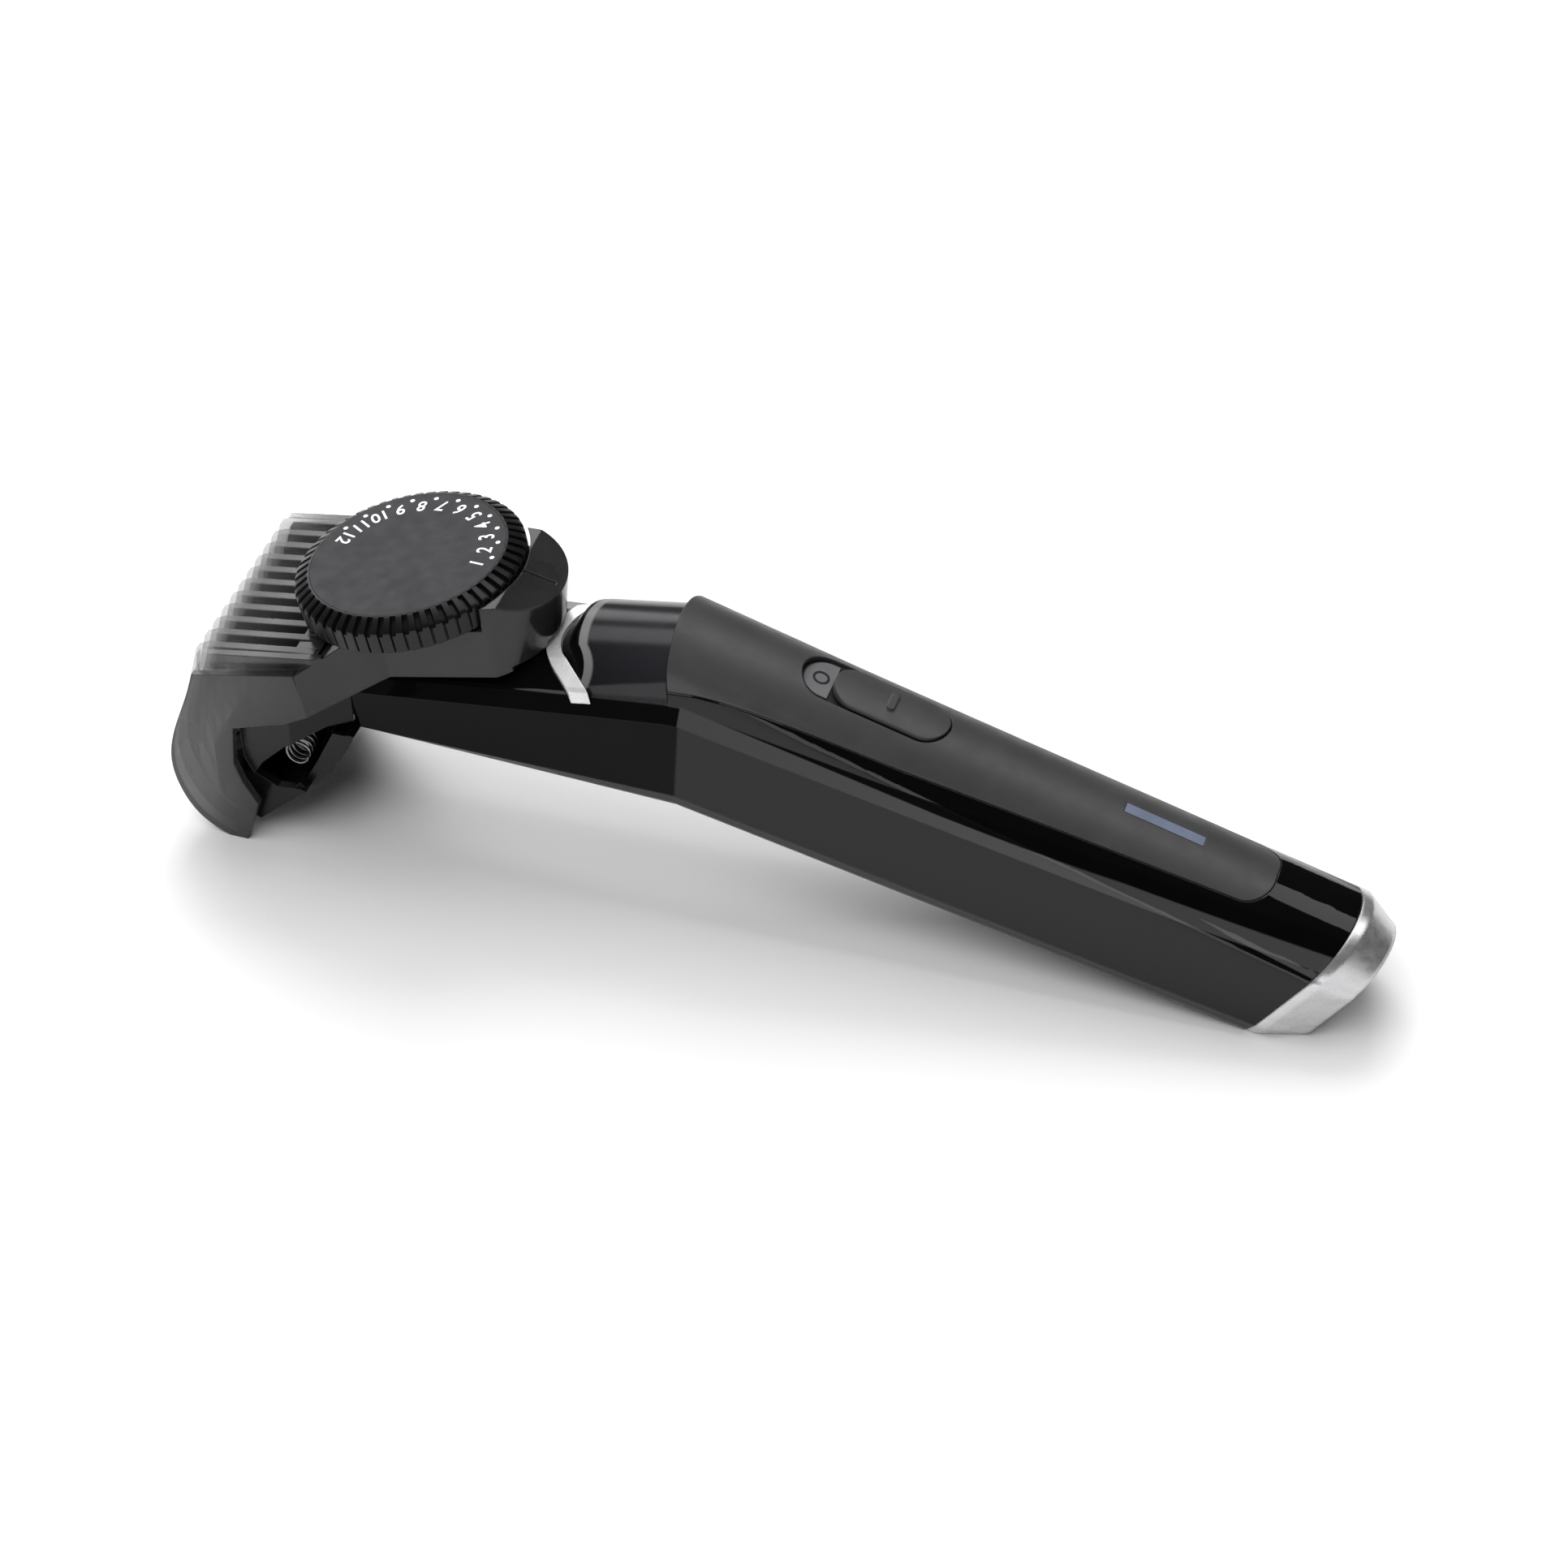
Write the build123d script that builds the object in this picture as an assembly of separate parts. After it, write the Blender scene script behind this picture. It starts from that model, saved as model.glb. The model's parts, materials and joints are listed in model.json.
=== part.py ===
from build123d import *
from math import atan2, cos, degrees, pi, radians, sin, sqrt, tan
import os

# Cordless beard trimmer with an adjustable comb, in millimetres.
# X runs from the comb (-) to the charging end (+), Y across, Z up from the surface it lies on.
# It lies as it is put down: on the comb's lower tips and on the flat foot of the end cap.

# ---- Layout -------------------------------------------------------------------------------------
DECK_TILT = 11.0                 # slope of the neck's top, the comb's slide and the dial, degrees
DIAL_X, DIAL_Z = -57.0, 45.4     # centre of the dial's face
HALF_WIDTH = 12.2                # half width of neck and grip at the seam
SIDE_DRAFT = tan(radians(10.5))  # how much the sides lean in, per mm of height
BEND_X = -13.0                   # where the neck meets the grip
SEAM_Z = 21.6                    # seam between shell and rear cover, along the neck
GRIP_FALL = tan(radians(12.7))   # fall of the seam along the grip
TOP_Z = 44.9                     # top of the bend
TOP_FALL = 0.2907                # fall of the grip's top line
CROWN_R = 11.2                   # radius of the grip's arched top
SHOULDER_R = 6.0                 # blend between the sides and the arched top
COVER_DEPTH = 2.8                # depth of the rear cover below the seam
WALL = 2.2                       # wall of the main shell
COVER_WALL = 1.5
GAP = 0.12                       # joint line between two fixed covers

# ---- Neck and bezel, heights measured from the dial's face, along its axis ----------------------
NECK_TOP_H = -13.35
NECK_FLAT = 6.0                  # half width of the flat along the middle of the neck's top
NECK_X = (-54.0, -15.5)          # stations of the (half width, height) pairs below; straight between
NECK_CREASE = [(11.8, 28.8), (10.1, 33.1)]  # crease below the more leaning band of the side
NECK_EDGE = [(10.9, 31.2), (9.5, 36.0)]     # top of that band
NECK_RIM = [(10.5, 31.6), (9.3, 36.8)]      # outer edge of the top, which falls away to it
NECK_FRONT_S = -8.5              # front end of the neck, along the deck from the dial's axis
BEZEL_FOOT_S = 21.6              # foot of the glossy bezel on the neck
BEZEL_TOP_H = -9.4
RING_R = 8.5                     # inner radius of the bow of the neck ring
RING_WIDTH = 2.1
RING_TOP_H = -12.6
RING_HALF = 10.4                 # half width between the ends of the ring's legs

# ---- Grip top: panel, switch and charge light ----------------------------------------------------
PANEL_END_X = 71.8
PANEL_HALVES = [(-25.0, 9.6), (-3.0, 8.5), (66.9, 5.9)]  # half width along the panel
PANEL_CORNER = 4.6
PANEL_SKIN = 1.2
SWITCH_X = 13.2                  # middle of the switch recess
RECESS_LENGTH, RECESS_WIDTH, RECESS_DEPTH = 22.6, 8.2, 1.1
SLIDER_LENGTH, SLIDER_WIDTH = 17.4, 7.4
SLIDER_TRAVEL = 4.6
LIGHT_X, LIGHT_LENGTH, LIGHT_WIDTH = 55.4, 12.0, 1.8

# ---- End cap ---------------------------------------------------------------------------------------
END_X, END_Z = 72.8, 2.3         # where the seam meets the cap's joint face
END_LEAN = 37.5                  # lean of the joint face from vertical
CAP_LENGTH = 7.5                 # length of the cap along the grip
CAP_STRAIGHT = 1.6               # of which this much keeps the grip's outline
CAP_CLOSING = 0.8                # size of the end face, beside the joint face
CAP_DROP = 1.0                   # how far the end face sits below the middle of the joint face
CAP_FACE = 6.81                  # end face's distance from the joint face
SOCKET_R, SOCKET_LENGTH = 1.8, 9.0

# ---- Dial and comb ---------------------------------------------------------------------------------
DIAL_R, DIAL_FACE_R, DIAL_THICK = 17.0, 14.4, 5.0
DIAL_TEETH = 56
RIB_PITCH, RIB_COUNT, RIB_THICK = 3.0, 11, 1.3
COMB_HALF = 18.5                 # half width over the comb's side plates
COMB_WALL = 1.3
FRAME_HALF = 11.9                # half width of the comb's frame behind the plates
DECK_TOP_H, DECK_THICK = -5.4, 1.5
PINION_TEETH, PINION_R = 12, 3.66  # pitch radius: 11.5 mm of comb travel per half turn of the dial
PINION_H = (-11.0, -8.8)         # height of the pinion's teeth

# ---- Head ------------------------------------------------------------------------------------------
HEAD_HALF = 16.3
BLADE_HALF = 15.6
BLADE_X = -83.4                  # front face of the fixed blade
BLADE_TIP_Z, BLADE_TOP_Z = 4.6, 15.6
TOOTH_PITCH = 1.3
PIVOT_X, PIVOT_Z = -71.0, 15.0   # axis on which the blade unit floats
SHAFT_H = -21.6                  # height of the motor's axis, parallel to the deck
STROKE = 0.8                     # half stroke of the moving blade
BATTERY_R, BATTERY_LENGTH = 7.0, 50.0

tilt = radians(DECK_TILT)
DECK = Plane(origin=(DIAL_X, 0, DIAL_Z), x_dir=(cos(tilt), 0, sin(tilt)), z_dir=(-sin(tilt), 0, cos(tilt)))
fall = atan2(GRIP_FALL, 1)
GRIP = Plane(origin=(BEND_X, 0, SEAM_Z), x_dir=(cos(fall), 0, -sin(fall)), z_dir=(sin(fall), 0, cos(fall)))


def deck_xz(s, h):
    """Side-view point at s along the deck and h above the dial's face."""
    return (DIAL_X + s * cos(tilt) - h * sin(tilt), DIAL_Z + s * sin(tilt) + h * cos(tilt))


def deck_z(x, h):
    """Height at x of the plane that lies h above the dial's face."""
    s = (x - DIAL_X + h * sin(tilt)) / cos(tilt)
    return deck_xz(s, h)[1]


def seam_z(x):
    """Seam of the grip; the neck's seam is level."""
    return SEAM_Z - (x - BEND_X) * GRIP_FALL


def top_z(x):
    return TOP_Z - (x - BEND_X) * TOP_FALL


def on_deck(shape):
    return shape.moved(DECK.location)


def on_grip(shape):
    return shape.moved(GRIP.location)


def box(x0, x1, y0, y1, z0, z1):
    return Pos((x0 + x1) / 2, (y0 + y1) / 2, (z0 + z1) / 2) * Box(x1 - x0, y1 - y0, z1 - z0)


def rod(radius, length):
    """Cylinder that starts at the origin and runs along +Z."""
    return Cylinder(radius, length, align=(Align.CENTER, Align.CENTER, Align.MIN))


def rod_y(radius, x, z, y0, y1):
    return Pos(x, y0, z) * Rot(-90, 0, 0) * rod(radius, y1 - y0)


def slice_y(outline, y0, y1):
    """Side-view outline of (x, z) points, extruded from y0 to y1."""
    face = make_face(Polyline(*[(x, y0, z) for x, z in outline], close=True))
    return extrude(face, amount=y1 - y0, dir=(0, 1, 0))


def plate(outline, z0, z1):
    """Plan outline of (x, y) points, extruded from z0 to z1."""
    face = make_face(Polyline(*[(x, y, z0) for x, y in outline], close=True))
    return extrude(face, amount=z1 - z0, dir=(0, 0, 1))


def mirrored(points):
    """Half outline from one side, closed with its mirror image across Y."""
    return points + [(x, -y) for x, y in reversed(points) if abs(y) > 1e-6]


def both_sides(shape):
    return shape + mirror(shape, about=Plane.XZ)


def save(name, shape):
    shape.label = name
    export_step(shape, "parts/" + name + ".step")


# ---- Body: sections square to X ------------------------------------------------------------------
def grip_section(x, inset=0.0, drop=0.0):
    """Drafted sides, a blended shoulder and an arched top, flat along the seam."""
    half = HALF_WIDTH - inset
    radius = CROWN_R - inset
    seam = seam_z(x) - drop
    centre = top_z(x) - inset - radius - seam_z(x)
    k = SIDE_DRAFT
    b = half * k + centre
    meet = (b + sqrt(b * b - (1 + k * k) * (half * half + centre * centre - radius * radius))) / (1 + k * k)
    meet_y = half - k * meet
    low_y = half + k * drop
    z0 = seam_z(x)
    side = Line((x, low_y, seam), (x, meet_y, z0 + meet))
    crown = ThreePointArc((x, meet_y, z0 + meet), (x, 0, top_z(x) - inset), (x, -meet_y, z0 + meet))
    other = Line((x, -meet_y, z0 + meet), (x, -low_y, seam))
    base = Line((x, -low_y, seam), (x, low_y, seam))
    face = Face(Wire([side, crown, other, base]))
    corners = face.vertices().filter_by(lambda v: v.Z > z0 + 1)
    return face.fillet_2d(SHOULDER_R - inset, corners)


def cover_section(x, z0, depth, inset=0.0):
    """Shallow tray section below the seam at z0, with rounded lower corners."""
    half = HALF_WIDTH - inset
    low = depth - inset
    points = [(x, half, z0), (x, half - 0.7, z0 - low), (x, 0.7 - half, z0 - low), (x, -half, z0)]
    face = Face(Wire(Polyline(*points, close=True).edges()))
    corners = face.vertices().filter_by(lambda v: v.Z < z0 - 0.01)
    return face.fillet_2d(min(2.0, 0.6 * low), corners)


def between(pair, x, inset=0.0):
    """Half width and height at x of an edge of the neck, moved in by inset."""
    t = (x - NECK_X[0]) / (NECK_X[1] - NECK_X[0])
    (y0, z0), (y1, z1) = pair
    return (y0 + t * (y1 - y0) - inset, z0 + t * (z1 - z0) - inset)


def neck_section(x, inset=0.0, drop=0.0):
    """Two bands on the side, a narrow chamfer, and a top that falls from its flat to the rim."""
    crease = between(NECK_CREASE, x, inset)
    half = HALF_WIDTH - inset
    out = (half - crease[0]) / (crease[1] - SEAM_Z)
    side = [(x, half + out * drop, SEAM_Z - drop), (x, *crease), (x, *between(NECK_EDGE, x, inset)),
            (x, *between(NECK_RIM, x, inset)), (x, NECK_FLAT, deck_z(x, NECK_TOP_H) - inset)]
    points = side + [(x, -y, z) for x, y, z in reversed(side)]
    return Face(Wire(Polyline(*points, close=True).edges()))


TAIL_X = 100.0                   # the sections run on past the end and are cut there
FRONT_X = -70.0
BIG = 200.0


def loft(*faces):
    return Solid.make_loft([face.outer_wire() for face in faces], ruled=True)


def grip_solid(inset=0.0, start=FRONT_X + 40, drop=0.0):
    return loft(grip_section(start, inset, drop), grip_section(TAIL_X, inset, drop))


def neck_solid(inset=0.0, end=BEND_X + 12, drop=0.0):
    return loft(neck_section(FRONT_X, inset, drop), neck_section(end, inset, drop))


def front_limit(s):
    """Everything behind the plane that stands square to the deck at s."""
    return on_deck(box(s, s + BIG, -40, 40, -BIG, BIG))


lean = radians(END_LEAN)
END = Plane(origin=(END_X, 0, END_Z), x_dir=(sin(lean), 0, cos(lean)), z_dir=(cos(lean), 0, -sin(lean)))


def before_end(offset):
    """Everything ahead of the plane that lies offset beyond the cap's joint face."""
    return box(-BIG, BIG, -40, 40, -BIG, offset).moved(END.location)


def between_ends(a, b):
    return box(-60, 60, -40, 40, a, b).moved(END.location)


CREASE = Plane(origin=(BEND_X + 0.1, 0, SEAM_Z), x_dir=(-0.11, 0, 1), z_dir=(1, 0, 0.11))


def ahead_of_crease(offset=0.0):
    """Everything on the neck's side of the crease, where neck and grip meet."""
    return box(-BIG, BIG, -40, 40, -BIG, offset).moved(CREASE.location)


def behind_crease(offset=0.0):
    return box(-BIG, BIG, -40, 40, offset, BIG).moved(CREASE.location)


BODY_LIMIT = front_limit(NECK_FRONT_S) & before_end(0)

# ---- Plan outlines on the grip's top ---------------------------------------------------------------
def panel_outline(grow=0.0):
    """Long panel in plan: edges that close in towards the tail, and a rounded end."""
    z = -20.0
    side = [(x, y + grow) for x, y in PANEL_HALVES]
    half = side[-1][1]
    end = PANEL_END_X + grow
    cut = PANEL_CORNER * (1 - sqrt(0.5))
    mid = [(end - cut, half - cut, z), (end - cut, cut - half, z)]
    near = (end, PANEL_CORNER - half, z)
    far = (end, half - PANEL_CORNER, z)
    left = [(x, y, z) for x, y in side]
    right = [(x, -y, z) for x, y in reversed(side)]
    left[-1] = (end - PANEL_CORNER, half, z)
    right[0] = (end - PANEL_CORNER, -half, z)
    lines = [Line(left[0], left[1]), Line(left[1], left[2]), ThreePointArc(left[2], mid[0], far),
             Line(far, near),
             ThreePointArc(near, mid[1], right[0]), Line(right[0], right[1]), Line(right[1], right[2]),
             Line(right[2], left[0])]
    return extrude(make_face(lines), amount=90, dir=(0, 0, 1))


top_fall = atan2(TOP_FALL, 1)


def top_plane(x):
    """Plane that touches the grip's top line at x, with its x axis towards the tail."""
    return Plane(origin=(x, 0, top_z(x)), x_dir=(cos(top_fall), 0, -sin(top_fall)),
                 z_dir=(sin(top_fall), 0, cos(top_fall)))


def slot_on_top(length, width, low, high):
    shape = extrude(SlotOverall(length, width), amount=high - low)
    return Pos(0, 0, low) * shape


def placed_on_top(shape, x):
    return shape.moved(top_plane(x).location)


# ---- Body parts -------------------------------------------------------------------------------------
SKIRT_H = -17.2                  # lowest height of bezel and ring, below the neck's rim


def crown_over_neck(inset):
    """Arched top carried forward over the neck, parallel to the deck."""
    radius = CROWN_R - inset
    height = BEZEL_TOP_H - inset - SKIRT_H
    half = sqrt(radius * radius - (radius - height) ** 2)
    s0 = BEZEL_FOOT_S - 8
    arch = ThreePointArc((s0, half, SKIRT_H), (s0, 0, BEZEL_TOP_H - inset), (s0, -half, SKIRT_H))
    face = make_face([arch, Line((s0, -half, SKIRT_H), (s0, half, SKIRT_H))])
    return extrude(face, amount=60, dir=(1, 0, 0))


def between_neck_sides(inset=0.0):
    """Room between the neck's side bands, carried on upwards with the grip's draft."""
    def section(x):
        y, z = between(NECK_EDGE, x)
        low, high = y - inset + 3 * SIDE_DRAFT, y - inset - 9 * SIDE_DRAFT
        points = [(x, low, z - 3), (x, high, z + 9), (x, -high, z + 9), (x, -low, z - 3)]
        return Face(Wire(Polyline(*points, close=True).edges()))
    return loft(section(-45), section(BEND_X + 5))


def bow_outline(apex, radius, h, half, leg=1.0):
    """Bow open to the tail: an arc at the front and two legs that run out and back."""
    turn = atan2(1, leg)
    centre = apex + radius
    y1 = radius * sin(pi / 2 - (pi / 2 - turn))
    s1 = centre - radius * cos(turn)
    s2 = s1 + (half - y1) * leg
    lines = [ThreePointArc((s1, -y1, h), (apex, 0, h), (s1, y1, h)),
             Line((s1, y1, h), (s2, half, h)), Line((s2, half, h), (s2 + 30, half, h)),
             Line((s2 + 30, half, h), (s2 + 30, -half, h)), Line((s2 + 30, -half, h), (s2, -half, h)),
             Line((s2, -half, h), (s1, -y1, h))]
    return make_face(lines)


def bezel_front(apex):
    """Bow-shaped front of the bezel, raked back; apex is where it meets the neck's top."""
    rake = 0.89
    low = bow_outline(apex - rake * (NECK_TOP_H - SKIRT_H), RING_R - 1.2, SKIRT_H, 14, 0.6)
    high = bow_outline(apex + rake * (BEZEL_TOP_H + 1 - NECK_TOP_H), RING_R + 1.5, BEZEL_TOP_H + 1, 14, 1.7)
    return Solid.make_loft([low.faces()[0].outer_wire(), high.faces()[0].outer_wire()], ruled=True)


def neck_bezel():
    outer = on_deck(crown_over_neck(0) & bezel_front(BEZEL_FOOT_S)) & between_neck_sides()
    inner = on_deck(crown_over_neck(1.4) & bezel_front(BEZEL_FOOT_S + 2.4)) & between_neck_sides(1.3)
    behind_ring = extrude(bow_outline(BEZEL_FOOT_S - 0.05, RING_R - 0.05, SKIRT_H, 14), amount=14)
    return (outer - inner - neck_solid()) & ahead_of_crease(-GAP) & on_deck(behind_ring)


def ring_bow(gap, half, low):
    """Bow between two outlines, gap wider than the ring on either side."""
    outer = bow_outline(BEZEL_FOOT_S - 0.1 - RING_WIDTH - gap, RING_R + RING_WIDTH + gap, low, half)
    inner = bow_outline(BEZEL_FOOT_S - 0.1 + gap, RING_R - gap, low - 1, half + 2)
    return extrude(outer, amount=7) - extrude(inner, amount=9)


def neck_ring():
    """Bright trim let into the neck's top; its legs follow the top down to the rim."""
    half = [(-RING_HALF, SKIRT_H), (-RING_HALF, RING_TOP_H - 2.6), (0.5 - RING_HALF, RING_TOP_H - 2.1),
            (-NECK_FLAT, RING_TOP_H)]
    points = [(0, y, h) for y, h in half] + [(0, -y, h) for y, h in reversed(half)]
    limit = extrude(make_face(Polyline(*points, close=True)), amount=31.2, dir=(1, 0, 0))
    return on_deck(ring_bow(0, 12.0, SKIRT_H) & limit) - neck_solid(1.1)


def ring_groove():
    return on_deck(ring_bow(0.05, 14.0, SKIRT_H) & box(0, 31.25, -16, 16, -20, 0)) - neck_solid(1.15)


POSTS = [(-44.5, 8.6), (-44.5, -8.6)]            # screw posts in the neck
BOSSES = [(57.5, 6.4), (57.5, -6.4)]             # screw bosses behind the battery


def main_shell():
    """Glossy housing: neck and grip in one moulding, open below and at the tail."""
    grip = (grip_solid() - grip_solid(WALL, drop=1.0)) & behind_crease()
    neck = (neck_solid() - neck_solid(1.7, drop=1.0)) & ahead_of_crease()
    bulkhead = grip_solid() & behind_crease() & ahead_of_crease(1.5)
    bulkhead -= neck_solid(1.7, drop=1.0)
    shell = (grip + bulkhead + neck) & BODY_LIMIT
    shell -= panel_outline(GAP) & (grip_solid() - grip_solid(PANEL_SKIN)) & behind_crease(-1)
    shell -= ring_groove()
    for x, y in POSTS:
        post = Pos(x, y, SEAM_Z) * rod(1.7, 20) & neck_solid(0.5)
        shell += post
        shell -= Pos(x, y, SEAM_Z - 1) * rod(0.75, 7)
    shell -= placed_on_top(slot_on_top(RECESS_LENGTH, RECESS_WIDTH, -1.8, 3), SWITCH_X)
    shell -= placed_on_top(slot_on_top(RECESS_LENGTH - 3, RECESS_WIDTH - 3, -5, 3), SWITCH_X)
    shell -= placed_on_top(Box(LIGHT_LENGTH + 0.1, LIGHT_WIDTH + 0.1, 8), LIGHT_X)
    for s in RAIL_SCREWS:
        shell -= on_deck(Pos(s, 0, -20) * rod(0.7, 8))
    return shell


def top_panel():
    """Matte cover let into the top of the grip."""
    skin = grip_solid() - grip_solid(PANEL_SKIN - 0.02)
    panel = skin & panel_outline() & behind_crease(0.02)
    panel -= placed_on_top(slot_on_top(RECESS_LENGTH, RECESS_WIDTH, -3, 3), SWITCH_X)
    panel -= placed_on_top(Box(LIGHT_LENGTH + 0.1, LIGHT_WIDTH + 0.1, 8), LIGHT_X)
    return panel


LABEL_LOW = -RECESS_DEPTH - 0.25    # underside of the label plate, on the tray


def switch_tray():
    """Floor of the switch recess, with a slot for the slider's stem."""
    tray = slot_on_top(RECESS_LENGTH - 0.1, RECESS_WIDTH - 0.1, -1.75, LABEL_LOW)
    tray -= Box(11.0, 2.6, 8)
    return placed_on_top(tray, SWITCH_X)


def charge_light_lens():
    lens = Pos(0, 0, -0.62) * Box(LIGHT_LENGTH, LIGHT_WIDTH, 1.2)
    return placed_on_top(lens, LIGHT_X)


def cover_solid(inset=0.0):
    """Tray below the seam of the grip."""
    return loft(cover_section(-40, seam_z(-40), COVER_DEPTH, inset),
                cover_section(TAIL_X, seam_z(TAIL_X), COVER_DEPTH, inset))


def neck_cover_solid(front_depth, inset=0.0):
    """Tray below the level seam of the neck: shallow at its front, full depth at the bend."""
    return loft(cover_section(NECK_COVER_X, SEAM_Z, front_depth, inset * 0.99),
                cover_section(BEND_X + 0.1, SEAM_Z, COVER_DEPTH, inset),
                cover_section(BEND_X + 10, SEAM_Z, COVER_DEPTH, inset))


NECK_COVER_X = -62.0
NECK_COVER_FRONT = 0.6


def rear_cover():
    grip = cover_solid() - (cover_solid(COVER_WALL) & before_end(-1.5))
    neck = neck_cover_solid(NECK_COVER_FRONT) - loft(
        cover_section(-56, SEAM_Z, 2.0, COVER_WALL),
        cover_section(BEND_X + 10, SEAM_Z, COVER_DEPTH + 0.3, COVER_WALL))
    cover = (grip & behind_crease()) + (neck & ahead_of_crease())
    cover &= BODY_LIMIT & box(-100, 100, -20, 20, 0.1, 60)
    for x, y in POSTS:
        cover -= Pos(x, y, SEAM_Z - 6) * rod(0.8, 12)
    for x, y in BOSSES:
        cover -= Pos(x, y, seam_z(x) - 6) * rod(0.8, 12)
        cover -= Pos(x, y, seam_z(x) - 6) * rod(1.65, 6 - COVER_DEPTH + 0.85)
    return cover


def housing_screws():
    """Two pan heads under the neck, and two countersunk into the cover near the tail."""
    neck_low = 0.6 + (COVER_DEPTH - 0.6) * (POSTS[0][0] - NECK_COVER_X) / (BEND_X - NECK_COVER_X)
    group = [Pos(x, y, SEAM_Z - neck_low - 0.85) * (rod(1.5, 0.72) + rod(0.73, 6.5)) for x, y in POSTS]
    countersunk = rod(1.55, 0.8) + rod(0.73, 6.0)
    group += [Pos(x, y, seam_z(x) - COVER_DEPTH - 0.05) * countersunk for x, y in BOSSES]
    return Compound(children=group)


def along_grip(shape, distance):
    return shape.moved(Location((distance * cos(fall), 0, -distance * sin(fall))))


def cap_body(start, straight, whole):
    """Outline of the joint face carried along the grip, closing in to a smaller end face."""
    full = grip_solid() + cover_solid()
    cut = full & between_ends(0, 2)
    face = cut.faces().filter_by(lambda f: abs(END.to_local_coords(f.center()).Z) < 0.01)[0]
    rim = face.outer_wire()
    centre = face.center()
    shift = centre * (1 - CAP_CLOSING) - END.x_dir * CAP_DROP
    small = Wire(scale(rim, by=CAP_CLOSING).edges()).moved(Location(shift))
    rims = [along_grip(rim, start), along_grip(rim, straight)]
    tube = Solid.make_loft(rims, ruled=True)
    end = Solid.make_loft([rims[1], along_grip(small, whole)], ruled=True)
    return tube + end


def end_cap():
    """Plug that closes the grip, with a flat foot where the trimmer stands on it."""
    cap = cap_body(GAP, CAP_STRAIGHT, CAP_LENGTH) & box(0, 120, -20, 20, 0, 60)
    pocket = grip_solid(1.8) & between_ends(-1, 2.4)
    return cap - pocket - socket_space(SOCKET_OUTER + 0.02)


SOCKET_OUTER = 3.2
SOCKET_AT = (10.0, 0.0)          # socket's centre on the cap's joint face: up along it, and across


def socket_space(radius):
    return (Pos(*SOCKET_AT, -6) * rod(radius, 20)).moved(END.location)


def charging_socket():
    body = Pos(*SOCKET_AT, CAP_FACE - SOCKET_LENGTH - 1.0) * rod(SOCKET_OUTER, SOCKET_LENGTH + 1.0)
    body -= Pos(*SOCKET_AT, CAP_FACE - SOCKET_LENGTH) * rod(SOCKET_R, SOCKET_LENGTH + 1)
    return body.moved(END.location)


def socket_contacts():
    back = CAP_FACE - SOCKET_LENGTH - 1.0
    tabs = [Pos(SOCKET_AT[0] + dx, 0, back - 1.6) * Box(0.6, 2.0, 3.1) for dx in (-1.6, 1.6)]
    return Compound(children=[t.moved(END.location) for t in tabs])


# ---- Inside the grip and the neck -------------------------------------------------------------------
BATTERY_U, BATTERY_W = 16.0, 6.4
BOARD_THICK = 0.8
BOARD_W = 13.75


def battery():
    cell = Pos(BATTERY_U, 0, BATTERY_W) * Rot(0, 90, 0) * rod(BATTERY_R, BATTERY_LENGTH)
    cell = fillet(cell.edges(), 0.5)
    cell += Pos(BATTERY_U + BATTERY_LENGTH, 0, BATTERY_W) * Rot(0, 90, 0) * rod(2.7, 0.8)
    return on_grip(cell)


def battery_contacts():
    front = box(BATTERY_U - 0.6, BATTERY_U - 0.1, -3, 3, 2, 13.0)
    rear_u = BATTERY_U + BATTERY_LENGTH + 0.9
    rear = box(rear_u, rear_u + 0.5, -3, 3, 2, 12.6)
    return Compound(children=[on_grip(front), on_grip(rear)])


def circuit_board():
    board = box(8.0, 68.0, -4.4, 4.4, BOARD_W, BOARD_THICK + BOARD_W)
    board -= box(30.0, 34.0, -6, -3.6, 10, 20)
    return on_grip(board)


def switch_body():
    x, z = SWITCH_X, top_z(SWITCH_X)
    u, w = grip_uw(x, z)
    case = box(u - 6.2, u + 6.2, -3.2, 3.2, BOARD_W + BOARD_THICK, BOARD_W + BOARD_THICK + 1.4)
    return on_grip(case)


def grip_uw(x, z):
    p = GRIP.to_local_coords(Vector(x, 0, z))
    return (p.X, p.Z)


def charge_led():
    u, w = grip_uw(LIGHT_X, top_z(LIGHT_X))
    return on_grip(box(u - 1.6, u + 1.6, -0.7, 0.7, BOARD_W + BOARD_THICK, BOARD_W + BOARD_THICK + 0.4))


def chassis():
    """Inner cradle under the battery, with end ribs and two screw bosses behind it."""
    rear = grip_uw(BOSSES[0][0], seam_z(BOSSES[0][0]))[0]
    floor = box(13.0, rear + 3, -8.4, 8.4, -1.15, -0.75)
    frame = floor + box(13.0, rear + 3, 7.2, 8.4, -1.15, 4.0) + box(13.0, rear + 3, -8.4, -7.2, -1.15, 4.0)
    for u in (13.0, 68.6):
        frame += box(u, u + 1.4, -7.3, 7.3, -1.15, 1.6)
    for x, y in BOSSES:
        frame += Pos(rear, y, -1.15) * rod(1.9, 5.5)
    frame = on_grip(frame)
    for x, y in BOSSES:
        frame -= Pos(x, y, seam_z(x) - 5) * rod(0.75, 10)
    return frame


MOTOR_R, MOTOR_S0, MOTOR_S1 = 6.0, 17.5, 37.0


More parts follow.
